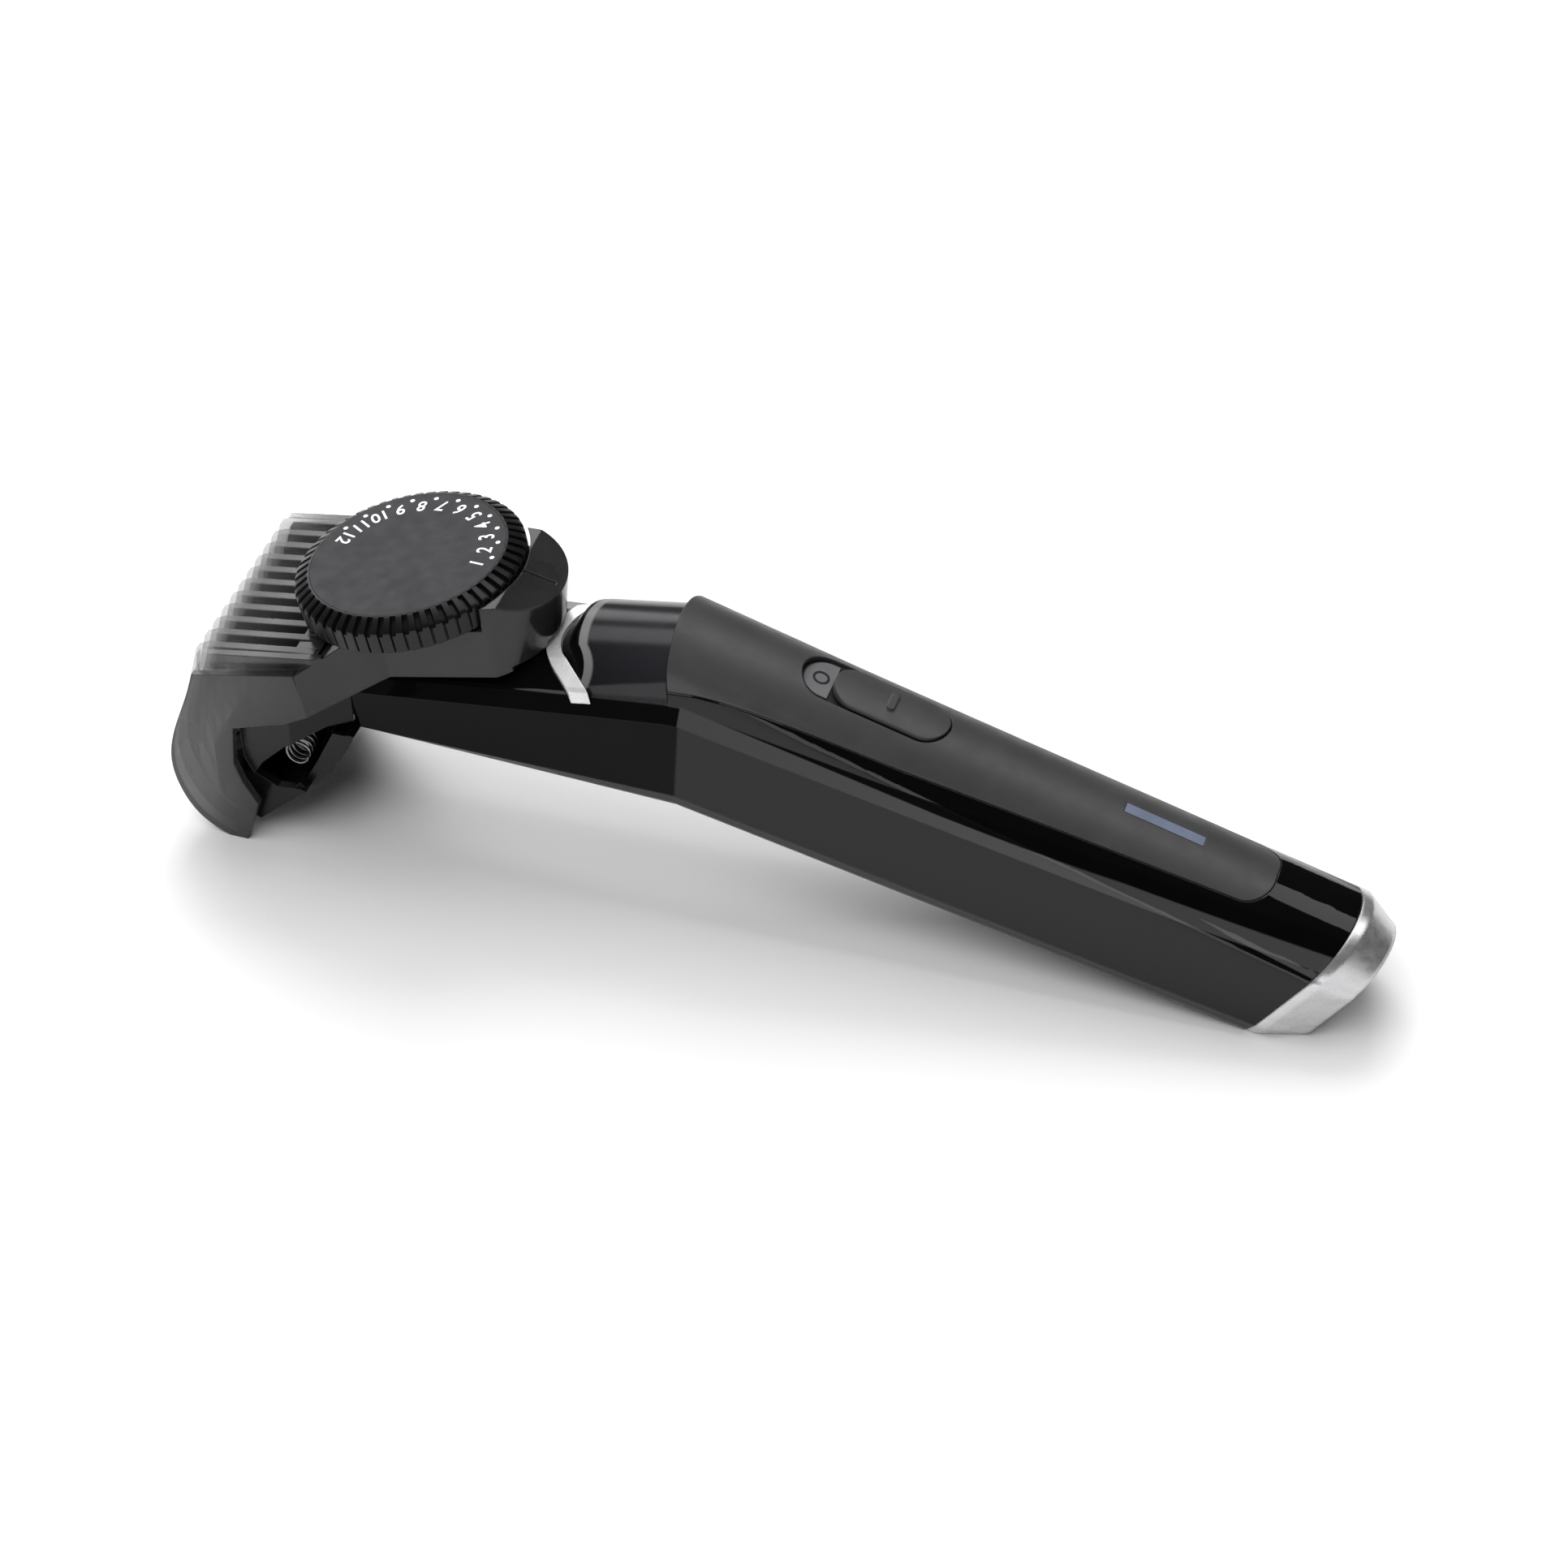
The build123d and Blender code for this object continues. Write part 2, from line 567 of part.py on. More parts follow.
def motor_can():
    can = Pos(MOTOR_S0, 0, SHAFT_H) * Rot(0, 90, 0) * rod(MOTOR_R, MOTOR_S1 - MOTOR_S0)
    can = fillet(can.edges(), 0.6)
    can += Pos(MOTOR_S0 - 1.2, 0, SHAFT_H) * Rot(0, 90, 0) * rod(2.5, 1.3)
    can += Pos(MOTOR_S1 - 0.1, 0, SHAFT_H) * Rot(0, 90, 0) * rod(2.5, 1.2)
    can -= Pos(MOTOR_S0 - 2, 0, SHAFT_H) * Rot(0, 90, 0) * rod(1.05, 14)
    return on_deck(can)


def motor_mount():
    """Bracket plate in front of the motor, and a saddle under it."""
    wall = box(14.6, 16.2, -8.0, 8.0, -26.6, -16.2)
    wall -= Pos(10, 0, SHAFT_H) * Rot(0, 90, 0) * rod(2.6, 12)
    saddle = box(16.2, 34.0, -7.6, 7.6, -26.4, -22.0)
    saddle -= Pos(10, 0, SHAFT_H) * Rot(0, 90, 0) * rod(MOTOR_R + 0.05, 40)
    return on_deck(wall + saddle)


def motor_shaft():
    shaft = Pos(-25.0, 0, SHAFT_H) * Rot(0, 90, 0) * rod(1.0, 54.0)
    return on_deck(shaft)


def eccentric_cam():
    """Hub on the end of the shaft, with a crank pin set off its axis."""
    cam = Pos(-25.3, 0, SHAFT_H) * Rot(0, 90, 0) * rod(2.6, 3.6)
    cam -= Pos(-25.0, 0, SHAFT_H) * Rot(0, 90, 0) * rod(1.0, 20)
    cam += Pos(-27.6, 0, SHAFT_H + STROKE) * Rot(0, 90, 0) * rod(0.7, 2.4)
    return on_deck(cam)


BUSH_S = -15.6


def shaft_bush():
    bush = Pos(BUSH_S, 0, SHAFT_H) * Rot(0, 90, 0) * rod(2.0, 2.6)
    bush -= Pos(BUSH_S - 3, 0, SHAFT_H) * Rot(0, 90, 0) * rod(1.05, 20)
    return on_deck(bush)


def power_slider():
    shift = (RECESS_LENGTH - SLIDER_LENGTH) / 2 - 0.3
    slider = Pos(shift, 0, 0) * slot_on_top(SLIDER_LENGTH, SLIDER_WIDTH, -RECESS_DEPTH + 0.08, 0.25)
    slider = slider - grip_top_cut()
    slider += Pos(shift, 0, -0.4) * extrude(SlotOverall(3.6, 1.1, rotation=90), amount=0.95)
    slider += Pos(shift, 0, -1.9) * Box(4.0, 2.0, 2.0)
    return placed_on_top(slider, SWITCH_X)


def grip_top_cut():
    """What lies above the arched top, in the frame of the switch."""
    arch = Rot(0, 90, 0) * Cylinder(CROWN_R + 0.25, 60)
    return Pos(0, 0, 5) * Box(40, 20, 10 + 8) - Pos(0, 0, -CROWN_R) * arch


def switch_label_plate():
    start = -RECESS_LENGTH / 2 + 0.5
    tile = slot_on_top(RECESS_LENGTH - 1.0, RECESS_WIDTH - 1.4, LABEL_LOW, -RECESS_DEPTH)
    return placed_on_top(tile & box(start - 1, start + 4.4, -5, 5, -3, 3), SWITCH_X)


# ---- Rail, carriage, comb and dial, in the deck's frame ----------------------------------------------
RAIL_S = (-8.3, 6.5)
RAIL_SCREWS = (-5.5, 4.0)


def neck_rail():
    """T-shaped rail screwed to the neck, on which the comb's carriage slides and clips."""
    h = NECK_TOP_H
    rail = box(*RAIL_S, -2.0, 2.0, h, h + 0.8) + box(*RAIL_S, -3.4, 3.4, h + 0.8, h + 1.5)
    for s in RAIL_SCREWS:
        rail -= Pos(s, 0, h - 1) * rod(0.75, 5)
        rail -= Pos(s, 0, h + 0.7) * rod(1.4, 5)
    return on_deck(rail)


def rail_screws():
    h = NECK_TOP_H
    group = []
    for s in RAIL_SCREWS:
        screw = Pos(s, 0, h - 4.2) * rod(0.68, 5.2) + Pos(s, 0, h + 0.72) * rod(1.35, 0.7)
        group.append(on_deck(screw))
    return Compound(children=group)


CARRIAGE_S = (-13.6, 7.0)
CARRIAGE_TOP_H = -11.25
RACK_Y = PINION_R


def comb_carriage():
    """Slider plate with a T-slot, clipped on the neck's rail."""
    h = NECK_TOP_H
    block = box(*CARRIAGE_S, -9.0, 9.0, h + 0.2, CARRIAGE_TOP_H)
    block &= Pos(-2.8, 0, -20) * rod(10.3, 20) + box(-40, -2.8, -9.5, 9.5, -20, 0)
    block -= box(-40, 40, -2.2, 2.2, h - 1, h + 1.6)
    block -= box(-40, 40, -3.6, 3.6, h + 0.62, h + 1.68)
    return on_deck(block)


def rack_tooth_pitch():
    return 2 * pi * PINION_R / PINION_TEETH


def carriage_rack():
    """Straight rack along the carriage; its teeth face the pinion."""
    pitch = rack_tooth_pitch()
    low, high = CARRIAGE_TOP_H, PINION_H[1] - 0.2
    root = RACK_Y + 0.75
    bar = box(-13.4, 5.5, root, root + 1.6, low, high)
    tooth_low, tooth_high = 0.62, 0.26
    tip = RACK_Y - 0.45
    tooth = [(-tooth_low, root + 0.1), (-tooth_high, tip), (tooth_high, tip), (tooth_low, root + 0.1)]
    for i in range(-7, 3):
        bar += Pos((i + 0.5) * pitch, 0, 0) * plate(tooth, low, high)
    return on_deck(bar)


def dial_pinion():
    """Stub-toothed pinion under the dial, one tooth pointing at the rack's gap at rest."""
    low, high = PINION_H
    hub = Pos(0, 0, low) * rod(PINION_R - 0.75, high - low)
    tooth = [(PINION_R - 0.9, -0.5), (PINION_R + 0.4, -0.22), (PINION_R + 0.4, 0.22), (PINION_R - 0.9, 0.5)]
    for i in range(PINION_TEETH):
        hub += Rot(0, 0, 90 + i * 360 / PINION_TEETH) * plate(tooth, low, high)
    hub += Pos(0, 0, high - 0.01) * rod(2.0, DECK_TOP_H + 0.35 - high)
    hub -= Pos(0, 0, low - 1) * rod(0.8, 12)
    return on_deck(hub)


def dial_wheel():
    """Knurled wheel: bevelled crown of castellations over a finely grooved wall."""
    low = -DIAL_THICK
    disc = Pos(0, 0, low) * rod(DIAL_R, DIAL_THICK - 1.0)
    crown = Pos(0, 0, -0.5) * Cone(DIAL_R, DIAL_FACE_R + 0.5, 1.0)
    disc += crown
    disc -= Pos(0, 0, -0.75) * rod(DIAL_FACE_R + 0.03, 2)
    disc -= Pos(0, 0, low - 1) * rod(DIAL_R - 2.4, 1 + 2.6)
    disc += Pos(0, 0, low) * rod(4.0, 3)
    disc -= Pos(0, 0, low - 1) * rod(2.02, 3)
    disc -= Pos(0, 0, low - 1) * rod(0.85, 12)
    disc -= Pos(0, 0, -1.9) * rod(2.2, 3)
    slot = Pos(DIAL_R, 0, -1.3) * Box(2.6, 0.75, 2.2)
    cuts = [Rot(0, 0, i * 360 / DIAL_TEETH) * slot for i in range(DIAL_TEETH)]
    return on_deck(disc - cuts)


def dial_plate():
    face = Pos(0, 0, -0.73) * rod(DIAL_FACE_R, 0.73)
    return on_deck(face)


def dial_screw():
    screw = Pos(0, 0, PINION_H[0] + 0.6) * rod(0.78, -1.2 - PINION_H[0] - 0.6)
    screw += Pos(0, 0, -1.88) * rod(1.9, 0.9)
    return on_deck(screw)


def detent_spring():
    """Leaf under the dial whose bump clicks into the wheel."""
    leaf = box(5.0, 12.6, -1.5, 1.5, DECK_TOP_H + 0.02, DECK_TOP_H + 0.27)
    leaf += box(11.2, 12.4, -1.0, 1.0, DECK_TOP_H + 0.2, DECK_TOP_H + 1.1)
    return on_deck(leaf)


def rib_outline():
    """Side view of a comb rib: straight along the top, down round the nose, to a thin free tip."""
    outer = Spline((-84.2, 33.2), (-87.2, 22.5), (-89.2, 12.6), (-87.6, 6.0), (-81.2, 0.1),
                   tangents=[(-0.25, -1), (1, -0.12)])
    inner = Spline((-81.0, 1.5), (-85.2, 5.6), (-86.6, 12.4), (-84.6, 22.5), (-82.0, 30.0),
                   tangents=[(-1, 0.3), (0.35, 1)])
    return outer, inner


def comb_rib(y):
    outer, inner = rib_outline()
    start, end = Vector(outer @ 0), Vector(outer @ 1)
    tip, inside = Vector(inner @ 0), Vector(inner @ 1)
    rear_x = -65.5
    rear_top = (rear_x, 37.0)
    rear_low = (rear_x, 32.6)
    nose = (-82.6, 34.0)
    lines = [Line(rear_top, nose), Line(nose, (start.X, start.Y)), outer,
             Line((end.X, end.Y), (tip.X, tip.Y)),
             inner, Line((inside.X, inside.Y), rear_low), Line(rear_low, rear_top)]
    face = make_face(lines)
    solid = extrude(face, amount=RIB_THICK)
    return Pos(0, y + RIB_THICK / 2, 0) * Rot(90, 0, 0) * solid


def side_plate():
    """One outer plate with its hook down to the tip, in side view."""
    nose = [(-84.0, 30.6), (-87.4, 20.6), (-89.1, 12.6), (-87.9, 6.8), (-84.9, 2.3), (-81.0, 0.0)]
    rest = [(-81.0, 0.0), (-78.2, 0.0), (-75.8, 7.6), (-78.0, 11.6), (-79.0, 14.8), (-78.4, 21.8),
            (-70.1, 24.8), (-66.1, 27.2), (-67.9, 34.5), (-84.0, 30.6)]
    front = Spline(*[(x, -COMB_HALF, z) for x, z in nose], tangents=[(-0.25, 0, -1), (1, 0, -0.35)])
    back = Polyline(*[(x, -COMB_HALF, z) for x, z in rest])
    return extrude(make_face([front, back]), amount=COMB_WALL, dir=(0, 1, 0))


FRAME_REAR = ((15.0, 10.7), (20.8, 0.0))  # (s, y) of the rear corner and of the rear end, at the neck
COLLAR_REAR = ((15.8, 9.5), (24.2, 0.0))  # the same at the height of COLLAR_H
COLLAR_H = -1.5
FLARE_S = (-12.6, -1.4)          # the flared walls run from the side plates back to the frame's walls
FLARE_TOP_H = -8.6              # height of the flare's top at the side plates
FLARE_RISE_S = -4.6              # where it reaches the deck's height
FLARE_ROOF = 1.2
CHANNEL_HALF, CHANNEL_ROOF_H = 7.6, -8.4  # passage for the carriage


def rear_outline(corner, end, front, h, inset):
    """Plan outline with straight sides and a bowed rear."""
    (s1, y1), s2 = corner, end[0] - inset
    y1 -= inset
    y0 = FRAME_HALF - inset
    lines = [ThreePointArc((s1, y1, h), (s2, 0, h), (s1, -y1, h)), Line((s1, -y1, h), (front, -y0, h)),
             Line((front, -y0, h), (front, y0, h)), Line((front, y0, h), (s1, y1, h))]
    return Wire(lines)


def frame_block(front, inset=0.0):
    """Block under and behind the dial whose rear wall leans back as it rises."""
    low = rear_outline(*FRAME_REAR, front, NECK_TOP_H, inset)
    high = rear_outline(*COLLAR_REAR, front, COLLAR_H, inset)
    return Solid.make_loft([low, high], ruled=True)


def comb_frame():
    """Frame under the dial, its rear wall carried up behind the dial as a collar with a bevelled top."""
    low = NECK_TOP_H + 0.25
    deck_low = DECK_TOP_H - DECK_THICK
    block = frame_block(FLARE_S[1]) & box(-10, 40, -20, 20, low, 0)
    collar_top = [(17.0, 0, -1.8), (26.0, 0, -5.83), (26.0, 0, 2.0), (10.0, 0, 2.0), (10.0, 0, -1.8)]
    block -= extrude(make_face(Polyline(*collar_top, close=True)), amount=20, both=True)
    block -= Pos(0, 0, DECK_TOP_H) * rod(DIAL_R + 0.5, 10)
    block -= box(-10, 12, -20, 20, DECK_TOP_H, 10)
    inner = frame_block(FLARE_S[1] - 1, COMB_WALL)
    block -= inner & box(-10, 40, -20, 20, -20, deck_low)
    block -= inner & box(17.6, 40, -20, 20, deck_low - 0.1, -6.2)
    return block - box(17.0, 30, -30, 30, -20, RING_TOP_H + 0.3)


def flare_plan(inset, rear=0.0):
    half = FRAME_HALF - inset
    return mirrored([(FLARE_S[1] + rear, half), (FLARE_S[0] - rear, COMB_HALF - inset)])


def flare_top(thickness=0.0):
    """Room above the flare's top, which rises from the side plates to the deck under the dial."""
    low, high = FLARE_TOP_H - thickness, DECK_TOP_H - thickness
    rise = (high - low) / (FLARE_RISE_S - FLARE_S[0])
    outline = [(FLARE_S[0] - 4, low - 4 * rise), (FLARE_RISE_S, high), (FLARE_S[1] + 2, high),
               (FLARE_S[1] + 2, 5), (FLARE_S[0] - 4, 5)]
    return slice_y(outline, -30, 30)


def comb_flare():
    """Walls that open out from the frame to the side plates, with a raised channel in the middle."""
    flare = plate(flare_plan(0), -17, 0) - flare_top()
    half = CHANNEL_HALF + COMB_WALL
    flare += box(*FLARE_S, -half, half, -10, DECK_TOP_H - DECK_THICK + 0.1)
    flare += box(-5.2, FLARE_S[1] + 0.1, -half, half, -8, DECK_TOP_H)
    room = plate(flare_plan(COMB_WALL, 0.3), -20, 0) - flare_top(FLARE_ROOF)
    flare -= room - box(-20, 5, -half, half, FLARE_TOP_H - FLARE_ROOF, 5)
    under = [(FLARE_S[0] - 2, -22.0), (FLARE_S[0] - 2, -16.6), (FLARE_S[0], -16.2), (FLARE_S[1] - 0.6, -13.3),
             (FLARE_S[1] + 1, -13.1), (FLARE_S[1] + 1, -22.0)]
    return flare - slice_y(under, -30, 30)


def inside_flare():
    """Room above the flare, between planes that carry its outer walls upwards."""
    (s0, s1), rise = FLARE_S, COMB_HALF - FRAME_HALF
    return plate(mirrored([(s1, FRAME_HALF), (s0, FRAME_HALF + rise), (s0 - 30, FRAME_HALF + rise)]), -20, 5)


def collar_skin():
    """Thin layer along the collar's bevelled top, as deep as the pointer mark."""
    return extrude(make_face(Polyline((17.0, 0, -1.8), (24.0, 0, -4.93), (24.0, 0, -5.18), (17.0, 0, -2.05),
                                      close=True)), amount=20, both=True)


def comb_guide():
    over_rail = box(9.0, 25.0, -3.9, 3.9, -20, -11.5)
    hub_hole = Pos(0, 0, -12) * rod(2.1, 8)
    guide = on_deck(comb_frame() + comb_flare() - over_rail - hub_hole)
    crossbar = slice_y([(-69.0, 36.2), (-65.0, 37.0), (-65.0, 35.3), (-69.0, 34.5)], -16.5, 16.5)
    guide += crossbar & on_deck(inside_flare())
    ribs = [comb_rib((i - (RIB_COUNT - 1) / 2) * RIB_PITCH) for i in range(RIB_COUNT)]
    for rib in ribs:
        guide += rib
    shelf = slice_y([(-84.0, 30.6), (-67.9, 34.5), (-67.9, 33.0), (-84.0, 29.1)], -COMB_HALF + 0.3, -15.2)
    lip = slice_y([(-84.0, 30.0), (-83.4, 33.6), (-66.0, 36.9), (-64.2, 37.1), (-64.2, 35.0), (-67.9, 34.2)],
                  -17.0, -15.6) & on_deck(inside_flare())
    guide += both_sides(side_plate())
    guide += both_sides(shelf + lip)
    guide -= on_deck(box(FLARE_S[0] - 2, FLARE_S[1] + 0.1, -CHANNEL_HALF, CHANNEL_HALF, -20, CHANNEL_ROOF_H))
    mark = on_deck(box(17.6, 22.2, -0.22, 0.22, -8, 0)) & on_deck(collar_skin())
    return guide - mark


# ---- Head -------------------------------------------------------------------------------------------
def head_yoke():
    """Upper jaw of the head, fixed to the neck: a bulkhead, two flared cheeks and a roof."""
    front = NECK_FRONT_S - 0.15
    roof_in = [deck_xz(front, NECK_TOP_H - 0.2), deck_xz(-22.6, NECK_TOP_H - 0.2),
               deck_xz(-22.6, -15.4), deck_xz(front, -15.4)]
    roof = slice_y(roof_in, -9.6, 9.6)
    shelf = on_deck(box(-22.6, front, -20, 20, -18.2, -16.7))
    plan = plate([(-62.2, -12.0), (-62.2, 12.0), (-70.5, HEAD_HALF), (-82, HEAD_HALF), (-82, -HEAD_HALF),
                  (-70.5, -HEAD_HALF)], 0, 40)
    shelf &= plan
    cheek_line = [(-62.0, 28.0), (-62.0, 22.2), (-65.6, 21.7), (-68.5, 20.1), (-71.6, 18.2), (-75.4, 14.2),
                  (-77.0, 11.6), (-78.4, 14.6), (-78.6, 24.0)]
    under = on_deck(box(-40, front, -30, 30, -60, -16.8))
    inner_plan = plate([(-61.0, -10.8), (-61.0, 10.8), (-70.5, HEAD_HALF - 1.4), (-90, HEAD_HALF - 1.4),
                        (-90, 1.4 - HEAD_HALF), (-70.5, 1.4 - HEAD_HALF)], -5, 45)
    cheeks = (slice_y(cheek_line, -20, 20) & under & plan) - inner_plan
    wall = on_deck(box(front - 1.6, front, -10.6, 10.6, -21.9, -14.0))
    side_webs = on_deck(both_sides(box(front - 14, front, 8.2, 9.6, -17.5, -15.0)))
    ear = [(-68.6, 25.4), (-73.4, 24.6), (-72.6, 13.4), (-69.4, 13.4)]
    ears = [slice_y(ear, y0, y0 + 1.6) for y0 in (-9.2, 7.6)]
    yoke = roof + shelf + cheeks + wall + side_webs + ears[0] + ears[1]
    yoke -= rod_y(1.02, PIVOT_X, PIVOT_Z, -12, 12)
    yoke -= on_deck(Pos(-12, 0, SHAFT_H) * Rot(0, 90, 0) * rod(2.23, 12))
    boss = Pos(BUSH_S, 0, SHAFT_H) * Rot(0, 90, 0) * rod(3.2, 2.6)
    boss += box(BUSH_S, BUSH_S + 2.6, -2.6, 2.6, SHAFT_H, -17.0)
    boss -= Pos(BUSH_S - 1, 0, SHAFT_H) * Rot(0, 90, 0) * rod(2.0, 5)
    return yoke + on_deck(boss)


def pivot_pins():
    return Compound(children=[rod_y(0.97, PIVOT_X, PIVOT_Z, y0, y0 + 5.0) for y0 in (-11.6, 6.6)])


def float_springs():
    """Torsion springs round the pivot, one at each end of the head."""
    coils = []
    for side in (-1, 1):
        helix = Helix(pitch=0.95, height=4.2, radius=1.75, center=(0, 0, 0), direction=(0, 0, 1))
        wire = sweep(Plane(helix @ 0, z_dir=helix % 0) * Circle(0.23), path=helix, is_frenet=True)
        y0 = -13.9 if side < 0 else 9.7
        coils.append(Pos(PIVOT_X, y0, PIVOT_Z) * Rot(-90, 0, 0) * wire)
    return Compound(children=coils)


CARRIER_X = -81.2                # front face of the carrier
CARRIER_END = [(-81.2, 10.0), (-81.2, 7.2), (-79.0, 3.0), (-77.2, 2.0), (-69.2, 9.4), (-70.0, 9.7),
               (-73.8, 9.3), (-77.2, 11.2)]


def blade_carrier():
    """Lower jaw: a trough behind the blades, closed at its ends, hung on two ears."""
    body = slice_y([(CARRIER_X, 14.4), (CARRIER_X, 7.2), (-79.0, 3.0), (-77.2, 2.0), (-69.2, 9.4),
                    (-70.4, 10.4),
                    (-77.0, 4.4), (-79.4, 7.4), (-79.4, 14.4)], -15.0, 15.0)
    ends = both_sides(slice_y(CARRIER_END, -15.6, -14.2))
    ears = [slice_y([(-79.5, 12.0), (-72.2, 16.9), (-69.2, 15.6), (-69.2, 9.6), (-71.0, 9.0), (-79.5, 6.0)],
                    y0, y0 + 1.6) for y0 in (-7.3, 5.7)]
    carrier = body + ends + ears[0] + ears[1]
    for y in (-BLADE_SCREW_Y, BLADE_SCREW_Y):
        pad = Pos(BLADE_X + 0.7, y, BLADE_SCREW_Z) * Rot(0, 90, 0) * rod(1.5, CARRIER_X - BLADE_X - 0.6)
        carrier += pad
        carrier -= Pos(BLADE_X, y, BLADE_SCREW_Z) * Rot(0, 90, 0) * rod(0.82, 5)
    return carrier - rod_y(1.04, PIVOT_X, PIVOT_Z, -12, 12)


def rear_shroud():
    """Curved cover behind the blade unit."""
    outer = Spline((-61.6, 20.6), (-64.2, 15.4), (-69.0, 9.0))
    inner = Spline((-69.9, 9.9), (-65.4, 15.9), (-62.9, 20.6))
    face = make_face([outer, Line(outer @ 1, inner @ 0), inner, Line(inner @ 1, outer @ 0)])
    skin = Pos(0, 13.6, 0) * Rot(90, 0, 0) * extrude(face, amount=27.2)
    rims = both_sides(slice_y([(-62.0, 20.4), (-64.4, 15.3), (-69.2, 9.3), (-70.2, 9.9), (-68.0, 14.0),
                               (-65.0, 20.4)], -13.6, -12.6))
    return skin + rims - blade_carrier()


def toothed_plate(x0, x1, half, tip_z, top_z_, pitch):
    """Upright blade with pointed teeth along its lower edge."""
    root = tip_z + 2.2
    blade = box(x0, x1, -half, half, root, top_z_)
    count = int(2 * half / pitch)
    for i in range(count):
        y = (i - (count - 1) / 2) * pitch
        tooth = [(y - pitch * 0.32, root + 0.1), (y - pitch * 0.16, tip_z), (y + pitch * 0.16, tip_z),
                 (y + pitch * 0.32, root + 0.1)]
        face = make_face(Polyline(*[(x0, a, b) for a, b in tooth], close=True))
        blade += extrude(face, amount=x1 - x0, dir=(1, 0, 0))
    return blade


BLADE_SCREW_Y, BLADE_SCREW_Z = 11.0, 13.4


def fixed_blade():
    blade = toothed_plate(BLADE_X, BLADE_X + 0.7, BLADE_HALF, BLADE_TIP_Z, BLADE_TOP_Z, TOOTH_PITCH)
    for y in (-BLADE_SCREW_Y, BLADE_SCREW_Y):
        blade -= Pos(BLADE_X - 1, y, BLADE_SCREW_Z) * Rot(0, 90, 0) * rod(0.95, 4)
    return blade


def moving_blade():
    x0 = BLADE_X + 0.76
    blade = toothed_plate(x0, x0 + 0.7, BLADE_HALF - 1.6, BLADE_TIP_Z + 0.5, 11.4, TOOTH_PITCH)
    blade += box(x0, x0 + 0.7, -6.0, 6.0, 11.3, 14.6)
    return blade


def drive_block():
    """Block on the moving blade with an upright slot for the eccentric pin."""
    x0 = BLADE_X + 0.76
    block = box(x0 + 0.02, x0 + 3.8, -4.6, 4.6, 14.62, 24.0)
    block += box(x0 + 0.72, x0 + 0.95, -4.6, 4.6, 12.2, 14.7)
    slot = box(x0 + 0.9, x0 + 6.0, -2.5, 2.5, 15.6, 22.6)
    return block - slot


def blade_screws():
    group = []
    for y in (-BLADE_SCREW_Y, BLADE_SCREW_Y):
        screw = Pos(BLADE_X - 0.7, y, BLADE_SCREW_Z) * Rot(0, 90, 0) * (rod(1.7, 0.68) + rod(0.8, 3.0))
        group.append(screw)
    return Compound(children=group)


def pressure_spring():
    """Wire form that presses the moving blade against the fixed one."""
    x0 = BLADE_X + 1.52
    bar = box(x0, x0 + 0.25, -10.0, 10.0, 9.2, 9.9)
    return bar


parts = {
    "main_shell": main_shell,
    "top_panel": top_panel,
    "rear_cover": rear_cover,
    "neck_bezel": neck_bezel,
    "neck_ring": neck_ring,
    "end_cap": end_cap,
    "charging_socket": charging_socket,
    "socket_contacts": socket_contacts,
    "switch_tray": switch_tray,
    "switch_label_plate": switch_label_plate,
    "power_slider": power_slider,
    "charge_light_lens": charge_light_lens,
    "charge_led": charge_led,
    "circuit_board": circuit_board,
    "switch_body": switch_body,
    "battery": battery,
    "battery_contacts": battery_contacts,
    "chassis": chassis,
    "housing_screws": housing_screws,
    "motor_can": motor_can,
    "motor_mount": motor_mount,
    "motor_shaft": motor_shaft,
    "eccentric_cam": eccentric_cam,
    "shaft_bush": shaft_bush,
    "neck_rail": neck_rail,
    "rail_screws": rail_screws,
    "comb_carriage": comb_carriage,
    "carriage_rack": carriage_rack,
    "comb_guide": comb_guide,
    "detent_spring": detent_spring,
    "dial_wheel": dial_wheel,
    "dial_plate": dial_plate,
    "dial_pinion": dial_pinion,
    "dial_screw": dial_screw,
    "head_yoke": head_yoke,
    "pivot_pins": pivot_pins,
    "float_springs": float_springs,
    "blade_carrier": blade_carrier,
    "rear_shroud": rear_shroud,
    "fixed_blade": fixed_blade,
    "moving_blade": moving_blade,
    "drive_block": drive_block,
    "blade_screws": blade_screws,
    "pressure_spring": pressure_spring,
}

os.makedirs("parts", exist_ok=True)
for name, make in parts.items():
    save(name, make())
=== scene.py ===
import json
from math import atan2, cos, pi, radians, sin, tan

import bpy
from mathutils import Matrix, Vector


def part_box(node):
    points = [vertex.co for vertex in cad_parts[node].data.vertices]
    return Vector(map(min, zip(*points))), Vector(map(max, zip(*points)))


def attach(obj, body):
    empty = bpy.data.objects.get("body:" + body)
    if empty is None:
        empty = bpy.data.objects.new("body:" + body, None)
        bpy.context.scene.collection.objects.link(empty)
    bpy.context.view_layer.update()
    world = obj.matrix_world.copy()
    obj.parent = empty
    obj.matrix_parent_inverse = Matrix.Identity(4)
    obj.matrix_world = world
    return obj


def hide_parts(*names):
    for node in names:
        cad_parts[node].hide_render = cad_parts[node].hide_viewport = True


# A cordless beard trimmer with its length comb. Lengths are millimetres in deck(), polar(), the
# dial's pieces and names that end in _mm, and metres everywhere else, in the frame of the CAD part.

